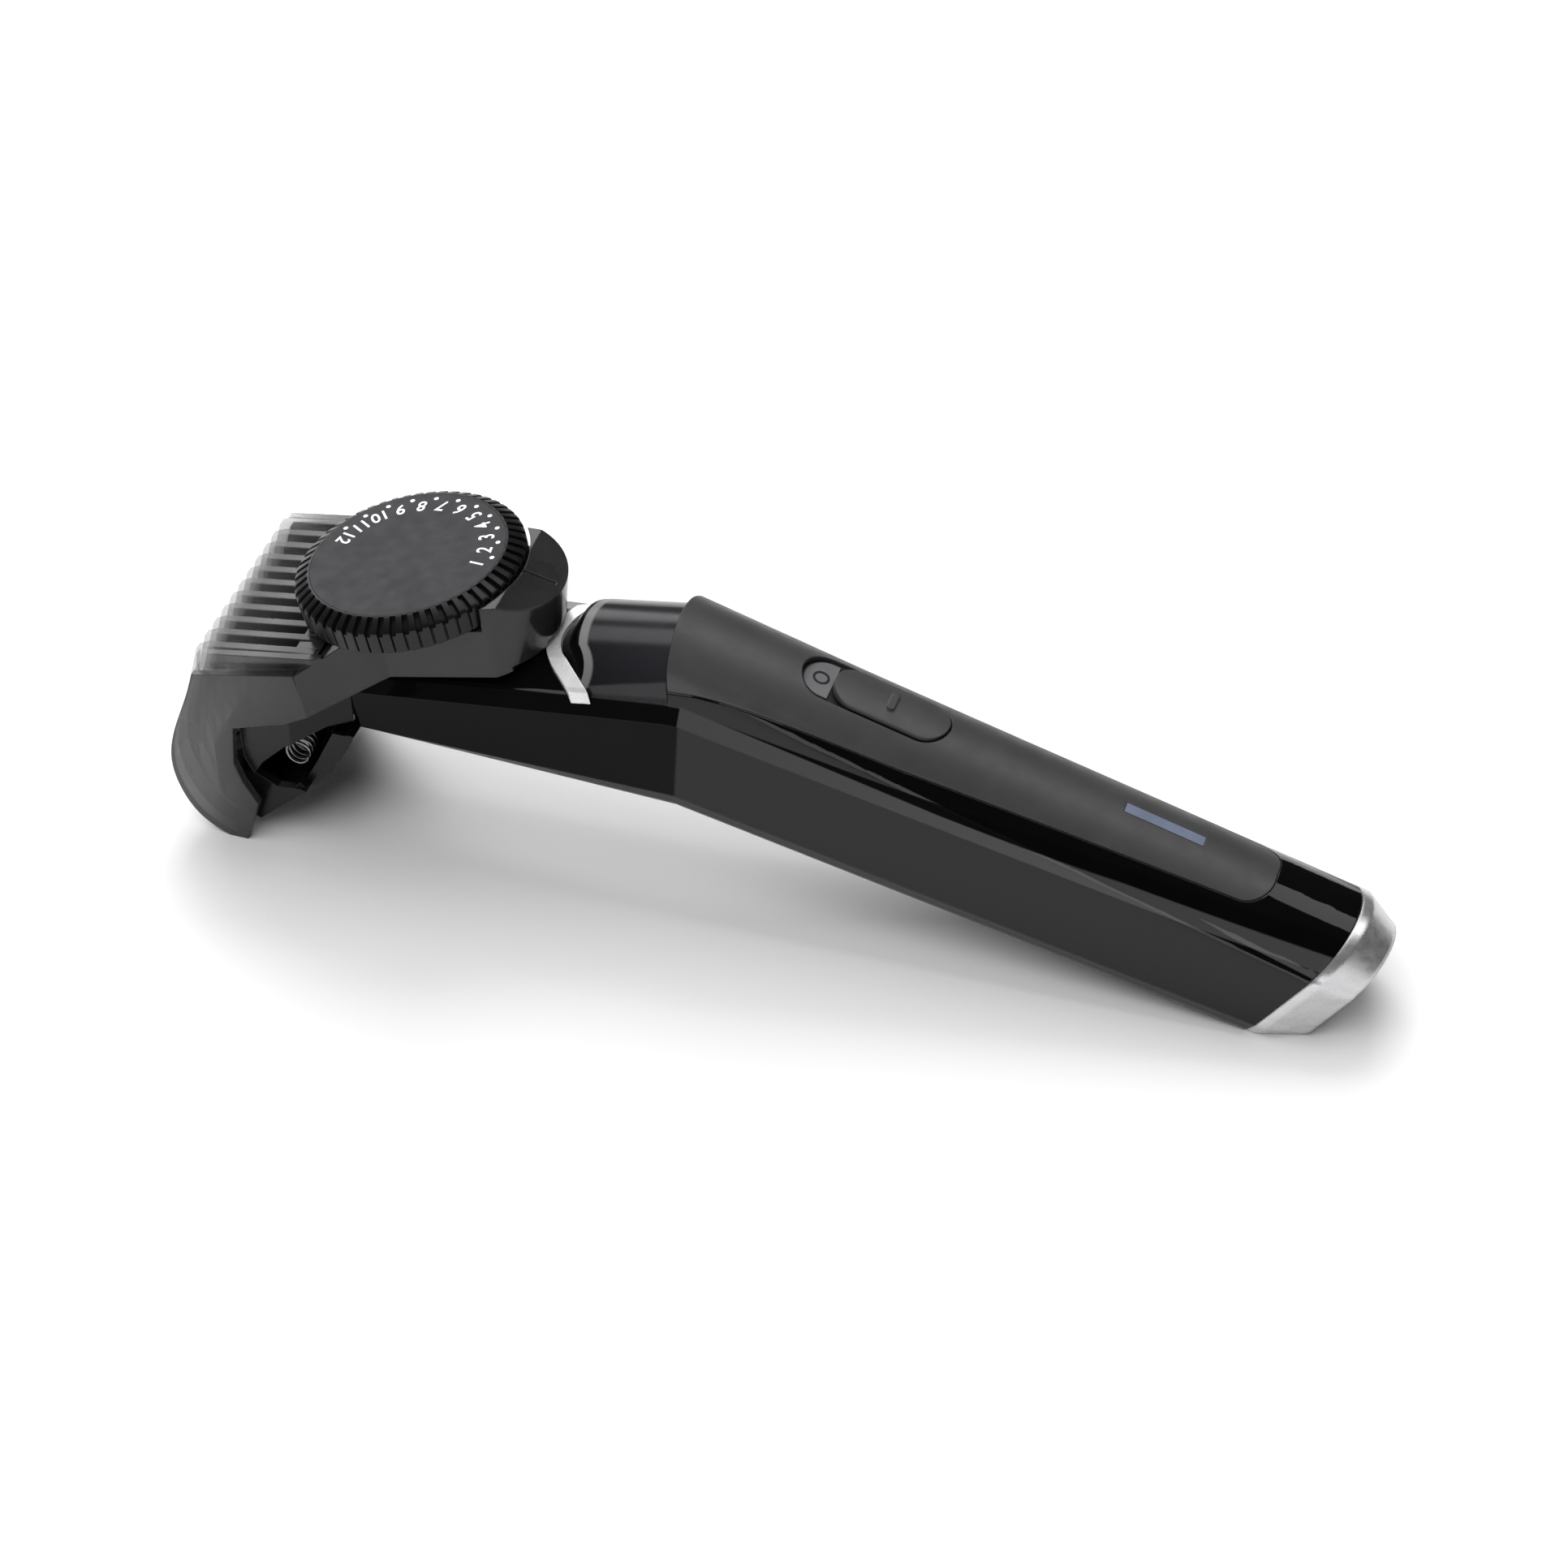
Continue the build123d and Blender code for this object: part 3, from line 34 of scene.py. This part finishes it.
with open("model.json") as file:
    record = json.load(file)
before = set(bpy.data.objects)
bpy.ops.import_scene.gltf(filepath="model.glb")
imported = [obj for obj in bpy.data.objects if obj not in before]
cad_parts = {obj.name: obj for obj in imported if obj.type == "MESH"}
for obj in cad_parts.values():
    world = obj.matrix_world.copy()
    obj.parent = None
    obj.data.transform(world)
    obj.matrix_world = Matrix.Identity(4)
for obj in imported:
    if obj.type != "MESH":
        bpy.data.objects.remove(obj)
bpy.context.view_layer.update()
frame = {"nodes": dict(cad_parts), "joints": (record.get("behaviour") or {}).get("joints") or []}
NODES = frame["nodes"]
MM = 0.001

# The deck: slide and dial share its slope. s runs along it towards the tail, h square to it.
JOINTS = {joint["name"]: joint for joint in frame["joints"]}
DIAL = Vector(JOINTS["dial_turn"]["pos_m"])
ALONG = -Vector(JOINTS["comb_adjust"]["axis"]).normalized()
ACROSS = Vector((0, 1, 0))
UP = ALONG.cross(ACROSS)


# ---- Materials ----------------------------------------------------------------------------------
class Graph:
    """Short way to write a node material."""

    def __init__(self, name):
        self.mat = bpy.data.materials.new(name)
        self.mat.use_nodes = True
        self.nodes = self.mat.node_tree.nodes
        self.links = self.mat.node_tree.links
        self.nodes.clear()
        self.out = self.nodes.new("ShaderNodeOutputMaterial")
        self.coord = self.nodes.new("ShaderNodeTexCoord")

    def add(self, kind, **values):
        node = self.nodes.new("ShaderNode" + kind)
        for key, value in values.items():
            if key in node.bl_rna.properties:
                setattr(node, key, value)
            else:
                self.put(node, key.replace("_", " "), value)
        return node

    def put(self, node, socket, value):
        target = node.inputs[socket]
        if isinstance(value, bpy.types.NodeSocket):
            self.links.new(value, target)
        else:
            target.default_value = value

    def noise(self, scale, detail=3.0, stretch=(1, 1, 1), rough=0.5):
        place = self.add("Mapping", Vector=self.coord.outputs["Object"])
        place.inputs["Scale"].default_value = stretch
        texture = self.add("TexNoise", Vector=place.outputs[0], Scale=scale, Detail=detail, Roughness=rough)
        return texture.outputs[0]

    def ramp(self, value, low, high, from_low=0.3, from_high=0.7):
        """Goes from low to high, and no further, as the value goes from from_low to from_high."""
        node = self.add("MapRange", Value=value)
        node.inputs[1].default_value = from_low
        node.inputs[2].default_value = from_high
        node.inputs[3].default_value = low
        node.inputs[4].default_value = high
        return node.outputs[0]

    def mix(self, factor, a, b):
        node = self.nodes.new("ShaderNodeMix")
        node.data_type = "RGBA"
        self.put(node, 0, factor)
        self.put(node, 6, a)
        self.put(node, 7, b)
        return node.outputs[2]

    def math(self, operation, a, b=None):
        node = self.nodes.new("ShaderNodeMath")
        node.operation = operation
        self.put(node, 0, a)
        if b is not None:
            self.put(node, 1, b)
        return node.outputs[0]

    def bump(self, height, strength, distance, normal=None):
        node = self.add("Bump", Height=height, Strength=strength, Distance=distance)
        if normal is not None:
            self.links.new(normal, node.inputs["Normal"])
        return node.outputs[0]

    def round_edges(self, radius_mm, samples=6):
        node = self.nodes.new("ShaderNodeBevel")
        node.samples = samples
        node.inputs["Radius"].default_value = radius_mm * MM
        return node.outputs[0]

    def finish(self, shader):
        self.links.new(shader.outputs[0], self.out.inputs[0])
        return self.mat


def rgb(r, g, b):
    return (r, g, b, 1.0)


def plastic(name, color, rough, grain=0.0, edge=0.2, vary=0.12, specular=0.5):
    """Moulded plastic: slight mottling, uneven gloss, a fine grain and softened edges."""
    g = Graph(name)
    mottle = g.noise(140, 4)
    dark = rgb(*[c * (1 - vary) for c in color])
    light = rgb(*[c * (1 + vary) for c in color])
    tone = g.mix(g.ramp(mottle, 0, 1), dark, light)
    gloss = g.ramp(g.noise(420, 3), max(0.0, rough - 0.05), rough + 0.05)
    normal = g.round_edges(edge)
    if grain:
        fine = g.noise(5200, 2, rough=0.6)
        normal = g.bump(fine, grain, 0.00004, normal)
    bsdf = g.add("BsdfPrincipled", Base_Color=tone, Roughness=gloss, Normal=normal)
    bsdf.inputs["Specular IOR Level"].default_value = specular
    return g.finish(bsdf)


def metal(name, color, rough, stretch=(1, 1, 1), brush=0.15, edge=0.15, scale=900, metallic=1.0):
    """Bare or plated metal, with fine brushing along its long side."""
    g = Graph(name)
    lines = g.noise(scale, 4, stretch)
    tone = g.mix(g.ramp(lines, 0, 1), rgb(*[c * 0.88 for c in color]), rgb(*color))
    gloss = g.ramp(lines, rough * 0.8, rough * 1.25)
    normal = g.bump(lines, brush, 0.00003, g.round_edges(edge))
    bsdf = g.add("BsdfPrincipled", Base_Color=tone, Metallic=metallic, Roughness=gloss, Normal=normal)
    return g.finish(bsdf)


def smoked(name, color, rough, clear_x, solid_x):
    """Smoke-tinted clear plastic: see-through at the ribs' free front, denser towards the frame. The free
    front also has a paler tone, a painted highlight, weaker on the side plates.
    """
    g = Graph(name)
    flow = g.noise(60, 3, (1, 0.5, 1))
    gloss = g.ramp(g.noise(260, 2), rough * 0.7, rough * 1.4)
    split = g.add("SeparateXYZ", Vector=g.coord.outputs["Object"])
    along = g.ramp(split.outputs[0], 0.30, 0.95, clear_x, solid_x)
    across = g.math("ABSOLUTE", split.outputs[1])
    plate = g.ramp(across, 0.0, 0.90, 0.0170, 0.0176)
    front = g.ramp(split.outputs[0], 1, 0, clear_x, solid_x + 0.005)
    # Painted highlight: the ribs' free front gets a paler tone, weaker on the side plates.
    painted_paleness = g.math("MULTIPLY", front, g.ramp(plate, 1, 0.25, 0, 0.9))
    body = g.mix(g.ramp(flow, 0, 1), rgb(*[c * 0.75 for c in color]), rgb(*[c * 1.3 for c in color]))
    tone = g.mix(painted_paleness, body, rgb(0.150, 0.150, 0.152))
    dense = g.math("MAXIMUM", along, plate)
    uneven = g.math("MULTIPLY", dense, g.ramp(flow, 0.94, 1.04))
    bsdf = g.add("BsdfPrincipled", Base_Color=tone, Roughness=gloss, Normal=g.round_edges(0.3))
    g.links.new(uneven, bsdf.inputs["Alpha"])
    bsdf.inputs["IOR"].default_value = 1.46
    return g.finish(bsdf)


# The housing runs from the neck's front to the bend, and falls from there to the tail.
NECK_FRONT_X, BEND_X, TAIL_X = -0.062, -0.0155, 0.088
SEAM_Z = 0.0216                     # seam between the gloss housing and the cover, on the neck
GRIP_START_X = -0.013               # where the seam starts to fall
GRIP_FALL = radians(12.7)
BLUR = 0.0001                       # half the width over which two tones meet


def two_slopes(g, x, bend, front, rear):
    """Height that changes evenly from the neck's front to the bend, and on to the tail."""
    on_neck = g.ramp(x, front, bend, NECK_FRONT_X, BEND_X)
    return g.math("ADD", on_neck, g.ramp(x, 0.0, rear - bend, BEND_X, TAIL_X))


def above(g, height):
    """1 above the line where the height is nought, 0 under it."""
    return g.ramp(height, 0, 1, -BLUR, BLUR)


def below(g, height):
    return g.ramp(height, 1, 0, -BLUR, BLUR)


def housing(name):
    """Gloss black housing with painted reflections placed by position: a deep black band along the
    shoulder, made by turning the specular almost off, a paler painted line under it on the grip, and
    lower specular on the neck.

    These painted reflections stand for how the glossy shoulder looks from one side.
    """
    g = Graph(name)
    split = g.add("SeparateXYZ", Vector=g.coord.outputs["Object"])
    x, z = split.outputs[0], split.outputs[2]
    behind_bend = g.math("MAXIMUM", g.math("ADD", x, -GRIP_START_X), 0.0)
    fall = g.math("MULTIPLY", behind_bend, tan(GRIP_FALL))
    up = g.math("ADD", g.math("SUBTRACT", z, SEAM_Z), fall)
    over_low = g.math("SUBTRACT", up, two_slopes(g, x, 0.0112, 0.0063, 0.0118))
    over_high = g.math("SUBTRACT", up, two_slopes(g, x, 0.0143, 0.0092, 0.0152))
    on_grip = g.ramp(x, 0, 1, GRIP_START_X - 0.0002, GRIP_START_X + 0.0002)
    on_neck = g.math("SUBTRACT", 1.0, on_grip)
    line_width = g.ramp(x, 0.0034, 0.0021, GRIP_START_X, 0.0250)
    over_line = g.math("SUBTRACT", over_low, g.math("MULTIPLY", line_width, on_grip))
    lift = g.ramp(x, 0.0, -0.0006, GRIP_START_X, 0.0300)
    over_band = g.math("ADD", over_high, g.math("MULTIPLY", lift, on_grip))
    # Painted reflections: the deep black band along the shoulder gets almost no specular, and the line under
    # it on the grip gets a paler painted colour.
    painted_dark_band_mask = g.math("MULTIPLY", above(g, over_line), below(g, over_band))
    painted_pale_line_mask = g.math("MULTIPLY", above(g, over_low), below(g, over_line))
    painted_pale_line_mask = g.math("MULTIPLY", painted_pale_line_mask, on_grip)
    # Painted reflection: the neck under the low line gets lower specular.
    painted_dull_neck_mask = g.math("MULTIPLY", below(g, over_low), on_neck)
    tone = g.mix(g.ramp(g.noise(140, 4), 0, 1), rgb(0.0020, 0.0020, 0.0022), rgb(0.0025, 0.0025, 0.0027))
    # Painted reflection: colour of the line under the band, paler towards the tail.
    painted_paleness_along = g.ramp(x, 0, 1, GRIP_START_X, 0.0600)
    painted_paleness = g.mix(painted_paleness_along, rgb(0.022, 0.022, 0.023), rgb(0.050, 0.050, 0.051))
    tone = g.mix(painted_pale_line_mask, tone, painted_paleness)
    painted_reflection_level = g.ramp(painted_dull_neck_mask, 0.36, 0.10, 0, 1)
    painted_reflection_level = g.math("MULTIPLY", painted_reflection_level, g.ramp(painted_dark_band_mask, 1.0, 0.04, 0, 1))
    gloss = g.ramp(g.noise(420, 3), 0.022, 0.045)
    bsdf = g.add("BsdfPrincipled", Base_Color=tone, Roughness=gloss, Normal=g.round_edges(0.25))
    g.links.new(painted_reflection_level, bsdf.inputs["Specular IOR Level"])
    return g.finish(bsdf)


def bezel(name):
    """Gloss bezel: painted highlight, a little rougher, along the bow of its front edge, and a painted
    dark reflection on the raked front wall, which is deep black with little specular.

    The front edge bows forward in the middle and runs back at the sides. Its radius and its place
    both grow with the height above the foot of the wall.
    """
    foot_h, foot_s, foot_radius = 0.01335, 0.0216, 0.0085
    radius_growth, rake = 0.307, 0.89
    foot_slope, slope_growth = 1.08, 125.0
    # Where the painted highlight along the front edge starts and ends behind that edge.
    painted_highlight_start, painted_highlight_end, wide = (0.00050, 0.00062), (0.0017, 0.0021), (0.025, 0.042)
    g = Graph(name)
    split = g.add("SeparateXYZ", Vector=g.coord.outputs["Object"])
    x = g.math("SUBTRACT", split.outputs[0], DIAL.x)
    z = g.math("SUBTRACT", split.outputs[2], DIAL.z)
    y = g.math("ABSOLUTE", split.outputs[1])
    s = g.math("ADD", g.math("MULTIPLY", x, ALONG.x), g.math("MULTIPLY", z, ALONG.z))
    h = g.math("SUBTRACT", g.math("MULTIPLY", z, ALONG.x), g.math("MULTIPLY", x, ALONG.z))
    rise = g.math("ADD", h, foot_h)
    radius = g.math("ADD", g.math("MULTIPLY", rise, radius_growth), foot_radius)
    centre = g.math("ADD", g.math("ADD", g.math("MULTIPLY", rise, rake), foot_s), radius)
    slope = g.math("ADD", g.math("MULTIPLY", rise, slope_growth), foot_slope)
    bend = g.math("MULTIPLY", radius, g.math("SUBTRACT", 1.12, g.math("MULTIPLY", slope, 0.4)))
    bow = g.math("MINIMUM", y, bend)
    chord = g.math("SUBTRACT", g.math("MULTIPLY", radius, radius), g.math("MULTIPLY", bow, bow))
    leg = g.math("MULTIPLY", g.math("MAXIMUM", g.math("SUBTRACT", y, bend), 0.0), slope)
    edge = g.math("ADD", g.math("SUBTRACT", centre, g.math("SQRT", chord)), leg)
    inside = g.math("SUBTRACT", s, edge)
    # The raked front wall is painted deep black with little specular, a painted dark reflection; the next
    # mask is the painted highlight along the bow of the front edge.
    wall = g.ramp(inside, 1, 0, *painted_highlight_start)
    painted_highlight_stripe = g.math("MULTIPLY", g.ramp(inside, 0, 1, *painted_highlight_start), g.ramp(inside, 1, 0, *painted_highlight_end))
    tone = g.mix(g.ramp(s, 0, 1, *wide), rgb(0.008, 0.008, 0.010), rgb(0.017, 0.017, 0.020))
    tone = g.mix(painted_highlight_stripe, tone, rgb(0.13, 0.13, 0.132))
    tone = g.mix(wall, tone, rgb(0.002, 0.002, 0.002))
    gloss = g.math("ADD", g.ramp(g.noise(420, 3), 0.17, 0.21), g.math("MULTIPLY", painted_highlight_stripe, 0.15))
    bsdf = g.add("BsdfPrincipled", Base_Color=tone, Roughness=gloss, Normal=g.round_edges(0.6))
    g.links.new(g.ramp(wall, 0.34, 0.06, 0, 1), bsdf.inputs["Specular IOR Level"])
    return g.finish(bsdf)


GLOSS = housing("gloss_black")
BEZEL = bezel("bezel_black_painted_highlight")
MATTE = plastic("matte_charcoal", (0.040, 0.040, 0.041), 0.47, grain=0.10, edge=0.3)
COVER = plastic("cover_black", (0.010, 0.010, 0.011), 0.25, grain=0.04, edge=0.35)
HEAD = plastic("head_black", (0.0045, 0.0045, 0.0050), 0.24, grain=0.05, edge=0.3, specular=0.28)
LABEL = plastic("label_grey", (0.105, 0.105, 0.110), 0.45, grain=0.05, edge=0.05)
LENS = plastic("lens_grey", (0.13, 0.15, 0.21), 0.16, edge=0.15, vary=0.2)
SOCKET = plastic("socket_black", (0.01, 0.01, 0.01), 0.4, grain=0.05, edge=0.1)
ACETAL = plastic("white_acetal", (0.75, 0.75, 0.70), 0.42, grain=0.04)
BOARD = plastic("board_green", (0.01, 0.10, 0.035), 0.35, vary=0.3)
CELL = plastic("battery_wrap", (0.02, 0.08, 0.25), 0.25)
RIM = plastic("dial_black", (0.0055, 0.0055, 0.0060), 0.32, grain=0.05, edge=0.12, specular=0.32)
SLATE = plastic("dial_slate", (0.016, 0.016, 0.020), 0.50, grain=0.08, edge=0.1, vary=0.05, specular=0.35)
WHITE = plastic("print_white", (0.85, 0.85, 0.85), 0.5, edge=0.02)
CAP = metal("cap_silver", (0.66, 0.66, 0.67), 0.27, (0.2, 1.0, 1.0), 0.0, edge=0.9, scale=700, metallic=0.80)
CHROME = metal("ring_chrome", (0.86, 0.86, 0.87), 0.26, (1, 0.3, 1), 0.0, edge=0.2, scale=500, metallic=0.42)
STEEL = metal("steel", (0.60, 0.60, 0.62), 0.25)
SPRING = metal("spring_wire", (0.26, 0.26, 0.27), 0.22, edge=0.05)
BLADE = metal("blade_steel", (0.62, 0.62, 0.64), 0.22, (1, 0.05, 1), 0.3)
BRONZE = metal("bush_bronze", (0.50, 0.36, 0.18), 0.35)
CONTACT = metal("contact_metal", (0.80, 0.62, 0.30), 0.25)
SMOKE = smoked("comb_smoke", (0.016, 0.016, 0.0165), 0.15, -0.0835, -0.0745)

BY_NODE = {
    "main_shell": GLOSS, "neck_bezel": BEZEL, "top_panel": MATTE, "power_slider": MATTE,
    "rear_cover": COVER, "switch_tray": SOCKET, "head_yoke": HEAD, "blade_carrier": HEAD,
    "rear_shroud": HEAD, "neck_ring": CHROME, "end_cap": CAP, "switch_label_plate": LABEL,
    "charge_light_lens": LENS, "charge_led": ACETAL, "charging_socket": SOCKET, "switch_body": SOCKET,
    "socket_contacts": CONTACT, "battery_contacts": CONTACT, "circuit_board": BOARD, "battery": CELL,
    "chassis": HEAD, "motor_mount": HEAD, "housing_screws": STEEL, "rail_screws": STEEL,
    "motor_shaft": STEEL, "pivot_pins": STEEL, "float_springs": SPRING, "pressure_spring": STEEL,
    "detent_spring": STEEL, "dial_screw": STEEL, "blade_screws": STEEL, "motor_can": STEEL,
    "shaft_bush": BRONZE, "eccentric_cam": ACETAL, "drive_block": ACETAL, "dial_pinion": ACETAL,
    "carriage_rack": ACETAL, "neck_rail": SOCKET, "comb_carriage": SOCKET, "comb_guide": SMOKE,
    "dial_wheel": RIM, "dial_plate": SLATE, "fixed_blade": BLADE, "moving_blade": BLADE,
}
for name, material in BY_NODE.items():
    mesh = NODES[name].data
    mesh.materials.clear()
    mesh.materials.append(material)


# ---- Pieces built here ---------------------------------------------------------------------------
def deck(s, y, h):
    """Row frame point of millimetres along the deck, across it and above the dial's face."""
    return DIAL + (ALONG * s + ACROSS * y + UP * h) * MM


def polar(radius, angle, h):
    return deck(radius * cos(angle), radius * sin(angle), h)


def piece(name, points, faces, material, body, smooth=True):
    mesh = bpy.data.meshes.new(name)
    mesh.from_pydata([tuple(p) for p in points], [], faces)
    mesh.update()
    mesh.materials.append(material)
    obj = bpy.data.objects.new(name, mesh)
    bpy.context.scene.collection.objects.link(obj)
    if smooth:
        mesh.shade_smooth()
    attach(obj, body)
    return obj


def sharpen(obj, angle):
    """Edges steeper than this stay crisp."""
    obj.data.set_sharp_from_angle(angle=angle)


def band(rows, columns):
    """Faces of rings of points stored ring by ring."""
    faces = []
    for i in range(rows - 1):
        for j in range(columns):
            k = (j + 1) % columns
            faces.append((i * columns + j, i * columns + k, (i + 1) * columns + k, (i + 1) * columns + j))
    return faces


def dial_rim():
    """Knurled rim: bars across a bevelled crown, and fine grooves down the wall."""
    low, high = -5.0, 0.0
    teeth, steps = 56, 16
    crown_rows, wall_rows = range(3, 7), range(7, 11)
    slot_share, groove_share = 0.40, 0.125
    slot_in, slot_down, groove_in = 0.42, 0.62, 0.34
    profile = [(14.43, -0.6), (14.43, high), (14.75, high - 0.02), (15.0, high - 0.12),
               (16.55, high - 1.0), (16.85, high - 1.22), (17.0, high - 1.5),
               (17.0, high - 1.9), (16.97, -3.4), (16.9, low + 0.25), (16.7, low + 0.06),
               (16.4, low), (14.8, low), (14.6, low + 0.2), (14.6, -2.5)]
    points = []
    columns = teeth * steps
    for row, (radius, h) in enumerate(profile):
        for j in range(columns):
            phase = (j % steps) / steps
            r, z = radius, h
            if row in crown_rows and phase < slot_share:
                r, z = radius - slot_in, h - slot_down
            if row in wall_rows and phase < groove_share:
                r = radius - groove_in
            points.append(polar(r, (j + 0.5) / columns * 2 * pi, z))
    rim = piece("dial_rim", points, band(len(profile), columns), RIM, "dial")
    sharpen(rim, radians(28))
    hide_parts("dial_wheel")
    return rim


PRINT_H = 0.022                     # height of the print above the dial's face


def printed(name, text, size, angle, radius):
    """Small raised print on the dial's face, with its top towards the middle."""
    curve = bpy.data.curves.new(name, "FONT")
    curve.body = text
    curve.size = size
    curve.align_x = "CENTER"
    curve.align_y = "CENTER"
    curve.shear = 0.1
    curve.offset = 0.045
    curve.extrude = 0.012
    text_obj = bpy.data.objects.new(name + "_text", curve)
    mesh = bpy.data.meshes.new_from_object(text_obj)
    bpy.data.objects.remove(text_obj)
    narrow = 0.86
    place = []
    for vertex in mesh.vertices:
        across, out = vertex.co.x * narrow, radius - vertex.co.y
        s = out * cos(angle) - across * sin(angle)
        y = out * sin(angle) + across * cos(angle)
        place.append(deck(s, y, PRINT_H + vertex.co.z * 0.8))
    for vertex, spot in zip(mesh.vertices, place):
        vertex.co = spot
    mesh.materials.clear()
    mesh.materials.append(WHITE)
    obj = bpy.data.objects.new(name, mesh)
    bpy.context.scene.collection.objects.link(obj)
    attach(obj, "dial")
    return obj


def dial_print():
    """Settings 1 to 12 round the edge, tops towards the middle, with a dot at each half step."""
    step = radians(15.652)
    for k in range(1, 13):
        printed("dial_number_%d" % k, str(k), 3.25, (k - 1.5) * step, 11.65)
    dot_place, dot_radius, sides = 13.262, 0.36, 20
    for k in range(1, 12):
        angle = (k - 1) * step
        s, y = dot_place * cos(angle), dot_place * sin(angle)
        points = [polar(dot_place, angle, PRINT_H + 0.006)]
        for j in range(sides):
            t = j / sides * 2 * pi
            points.append(deck(s + dot_radius * cos(t), y + dot_radius * sin(t), PRINT_H))
        faces = [(0, 1 + j, 1 + (j + 1) % sides) for j in range(sides)]
        piece("dial_dot_%d" % k, points, faces, WHITE, "dial")


def label_mark():
    """Plain ring printed on the switch's label plate."""
    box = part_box("switch_label_plate")
    middle = (Vector(box[0]) + Vector(box[1])) / 2
    fall = atan2(0.2907, 1)             # slope of the plate
    along, up = Vector((cos(fall), 0, -sin(fall))), Vector((sin(fall), 0, cos(fall)))
    centre = middle + along * 0.0003 + up * 0.00018
    points = []
    sides = 32
    for radius in (1.25, 0.90):
        for j in range(sides):
            t = j / sides * 2 * pi
            points.append(centre + (along * cos(t) + ACROSS * sin(t)) * radius * MM)
    piece("label_mark", points, band(2, sides), SOCKET, "body", smooth=False)


dial_rim()
dial_print()
label_mark()


# ---- Stage, lights and camera --------------------------------------------------------------------
def floor_material():
    g = Graph("floor_white")
    cloud = g.noise(6, 2)
    tone = g.mix(g.ramp(cloud, 0, 1), rgb(0.80, 0.80, 0.80), rgb(0.83, 0.83, 0.83))
    bsdf = g.add("BsdfPrincipled", Base_Color=tone, Roughness=0.55)
    bsdf.inputs["Specular IOR Level"].default_value = 0.3
    return g.finish(bsdf)


def stage_floor():
    mesh = bpy.data.meshes.new("stage_floor")
    x0, x1, y0, y1 = -2.2, 2.2, -0.62, 3.2
    mesh.from_pydata([(x0, y0, 0), (x1, y0, 0), (x1, y1, 0), (x0, y1, 0)], [], [(0, 1, 2, 3)])
    mesh.materials.append(floor_material())
    floor = bpy.data.objects.new("stage_floor", mesh)
    bpy.context.scene.collection.objects.link(floor)


def area(name, place, target, size, power, color=(1, 1, 1), glossy=True):
    light = bpy.data.lights.new(name, "AREA")
    light.shape = "RECTANGLE"
    light.size, light.size_y = size
    light.energy = power
    light.color = color
    lamp = bpy.data.objects.new(name, light)
    lamp.location = place
    lamp.rotation_euler = (Vector(target) - Vector(place)).to_track_quat("-Z", "Y").to_euler()
    lamp.visible_glossy = glossy
    bpy.context.scene.collection.objects.link(lamp)
    return lamp


def card(name, place, target, size, radiance):
    """Softbox seen in reflections, given by its brightness."""
    return area(name, place, target, size, radiance * pi * size[0] * size[1])


stage_floor()
bpy.context.scene.view_settings.view_transform = "Standard"
world = bpy.data.worlds.new("studio")
world.use_nodes = True
world.node_tree.nodes["Background"].inputs[0].default_value = (0.02, 0.02, 0.021, 1)
world.node_tree.nodes["Background"].inputs[1].default_value = 1.0
bpy.context.scene.world = world

area("key", (-0.25, 0.85, 1.05), (0, 0, 0), (0.8, 0.6), 13, glossy=False)
area("fill", (-0.3, -0.5, 1.1), (0, 0, 0), (1.4, 0.9), 12.0, glossy=False)
card("overhead_card", (0.0, 0.30, 0.95), (0.0, 0.12, 0.0), (1.6, 0.50), 2.2)
card("back_card", (-0.95, 0.95, 0.55), (-0.03, 0.0, 0.04), (0.75, 0.75), 2.6)
card("front_card", (0.0, -0.90, 0.11), (0.0, 0.0, 0.05), (2.4, 0.20), 1.9)

AZIMUTH, ELEVATION = radians(17.999), radians(42.375)
EYE = (0.1264355, -0.3909023, 0.3918190)
camera = bpy.data.cameras.new("camera")
camera.lens = 88.545
camera.sensor_width = 36.0
camera.clip_start = 0.01
eye = bpy.data.objects.new("camera", camera)
eye.location = EYE
back = Vector((sin(AZIMUTH) * cos(ELEVATION), -cos(AZIMUTH) * cos(ELEVATION), sin(ELEVATION)))
eye.rotation_euler = back.to_track_quat("Z", "Y").to_euler()
bpy.context.scene.collection.objects.link(eye)
bpy.context.scene.camera = eye
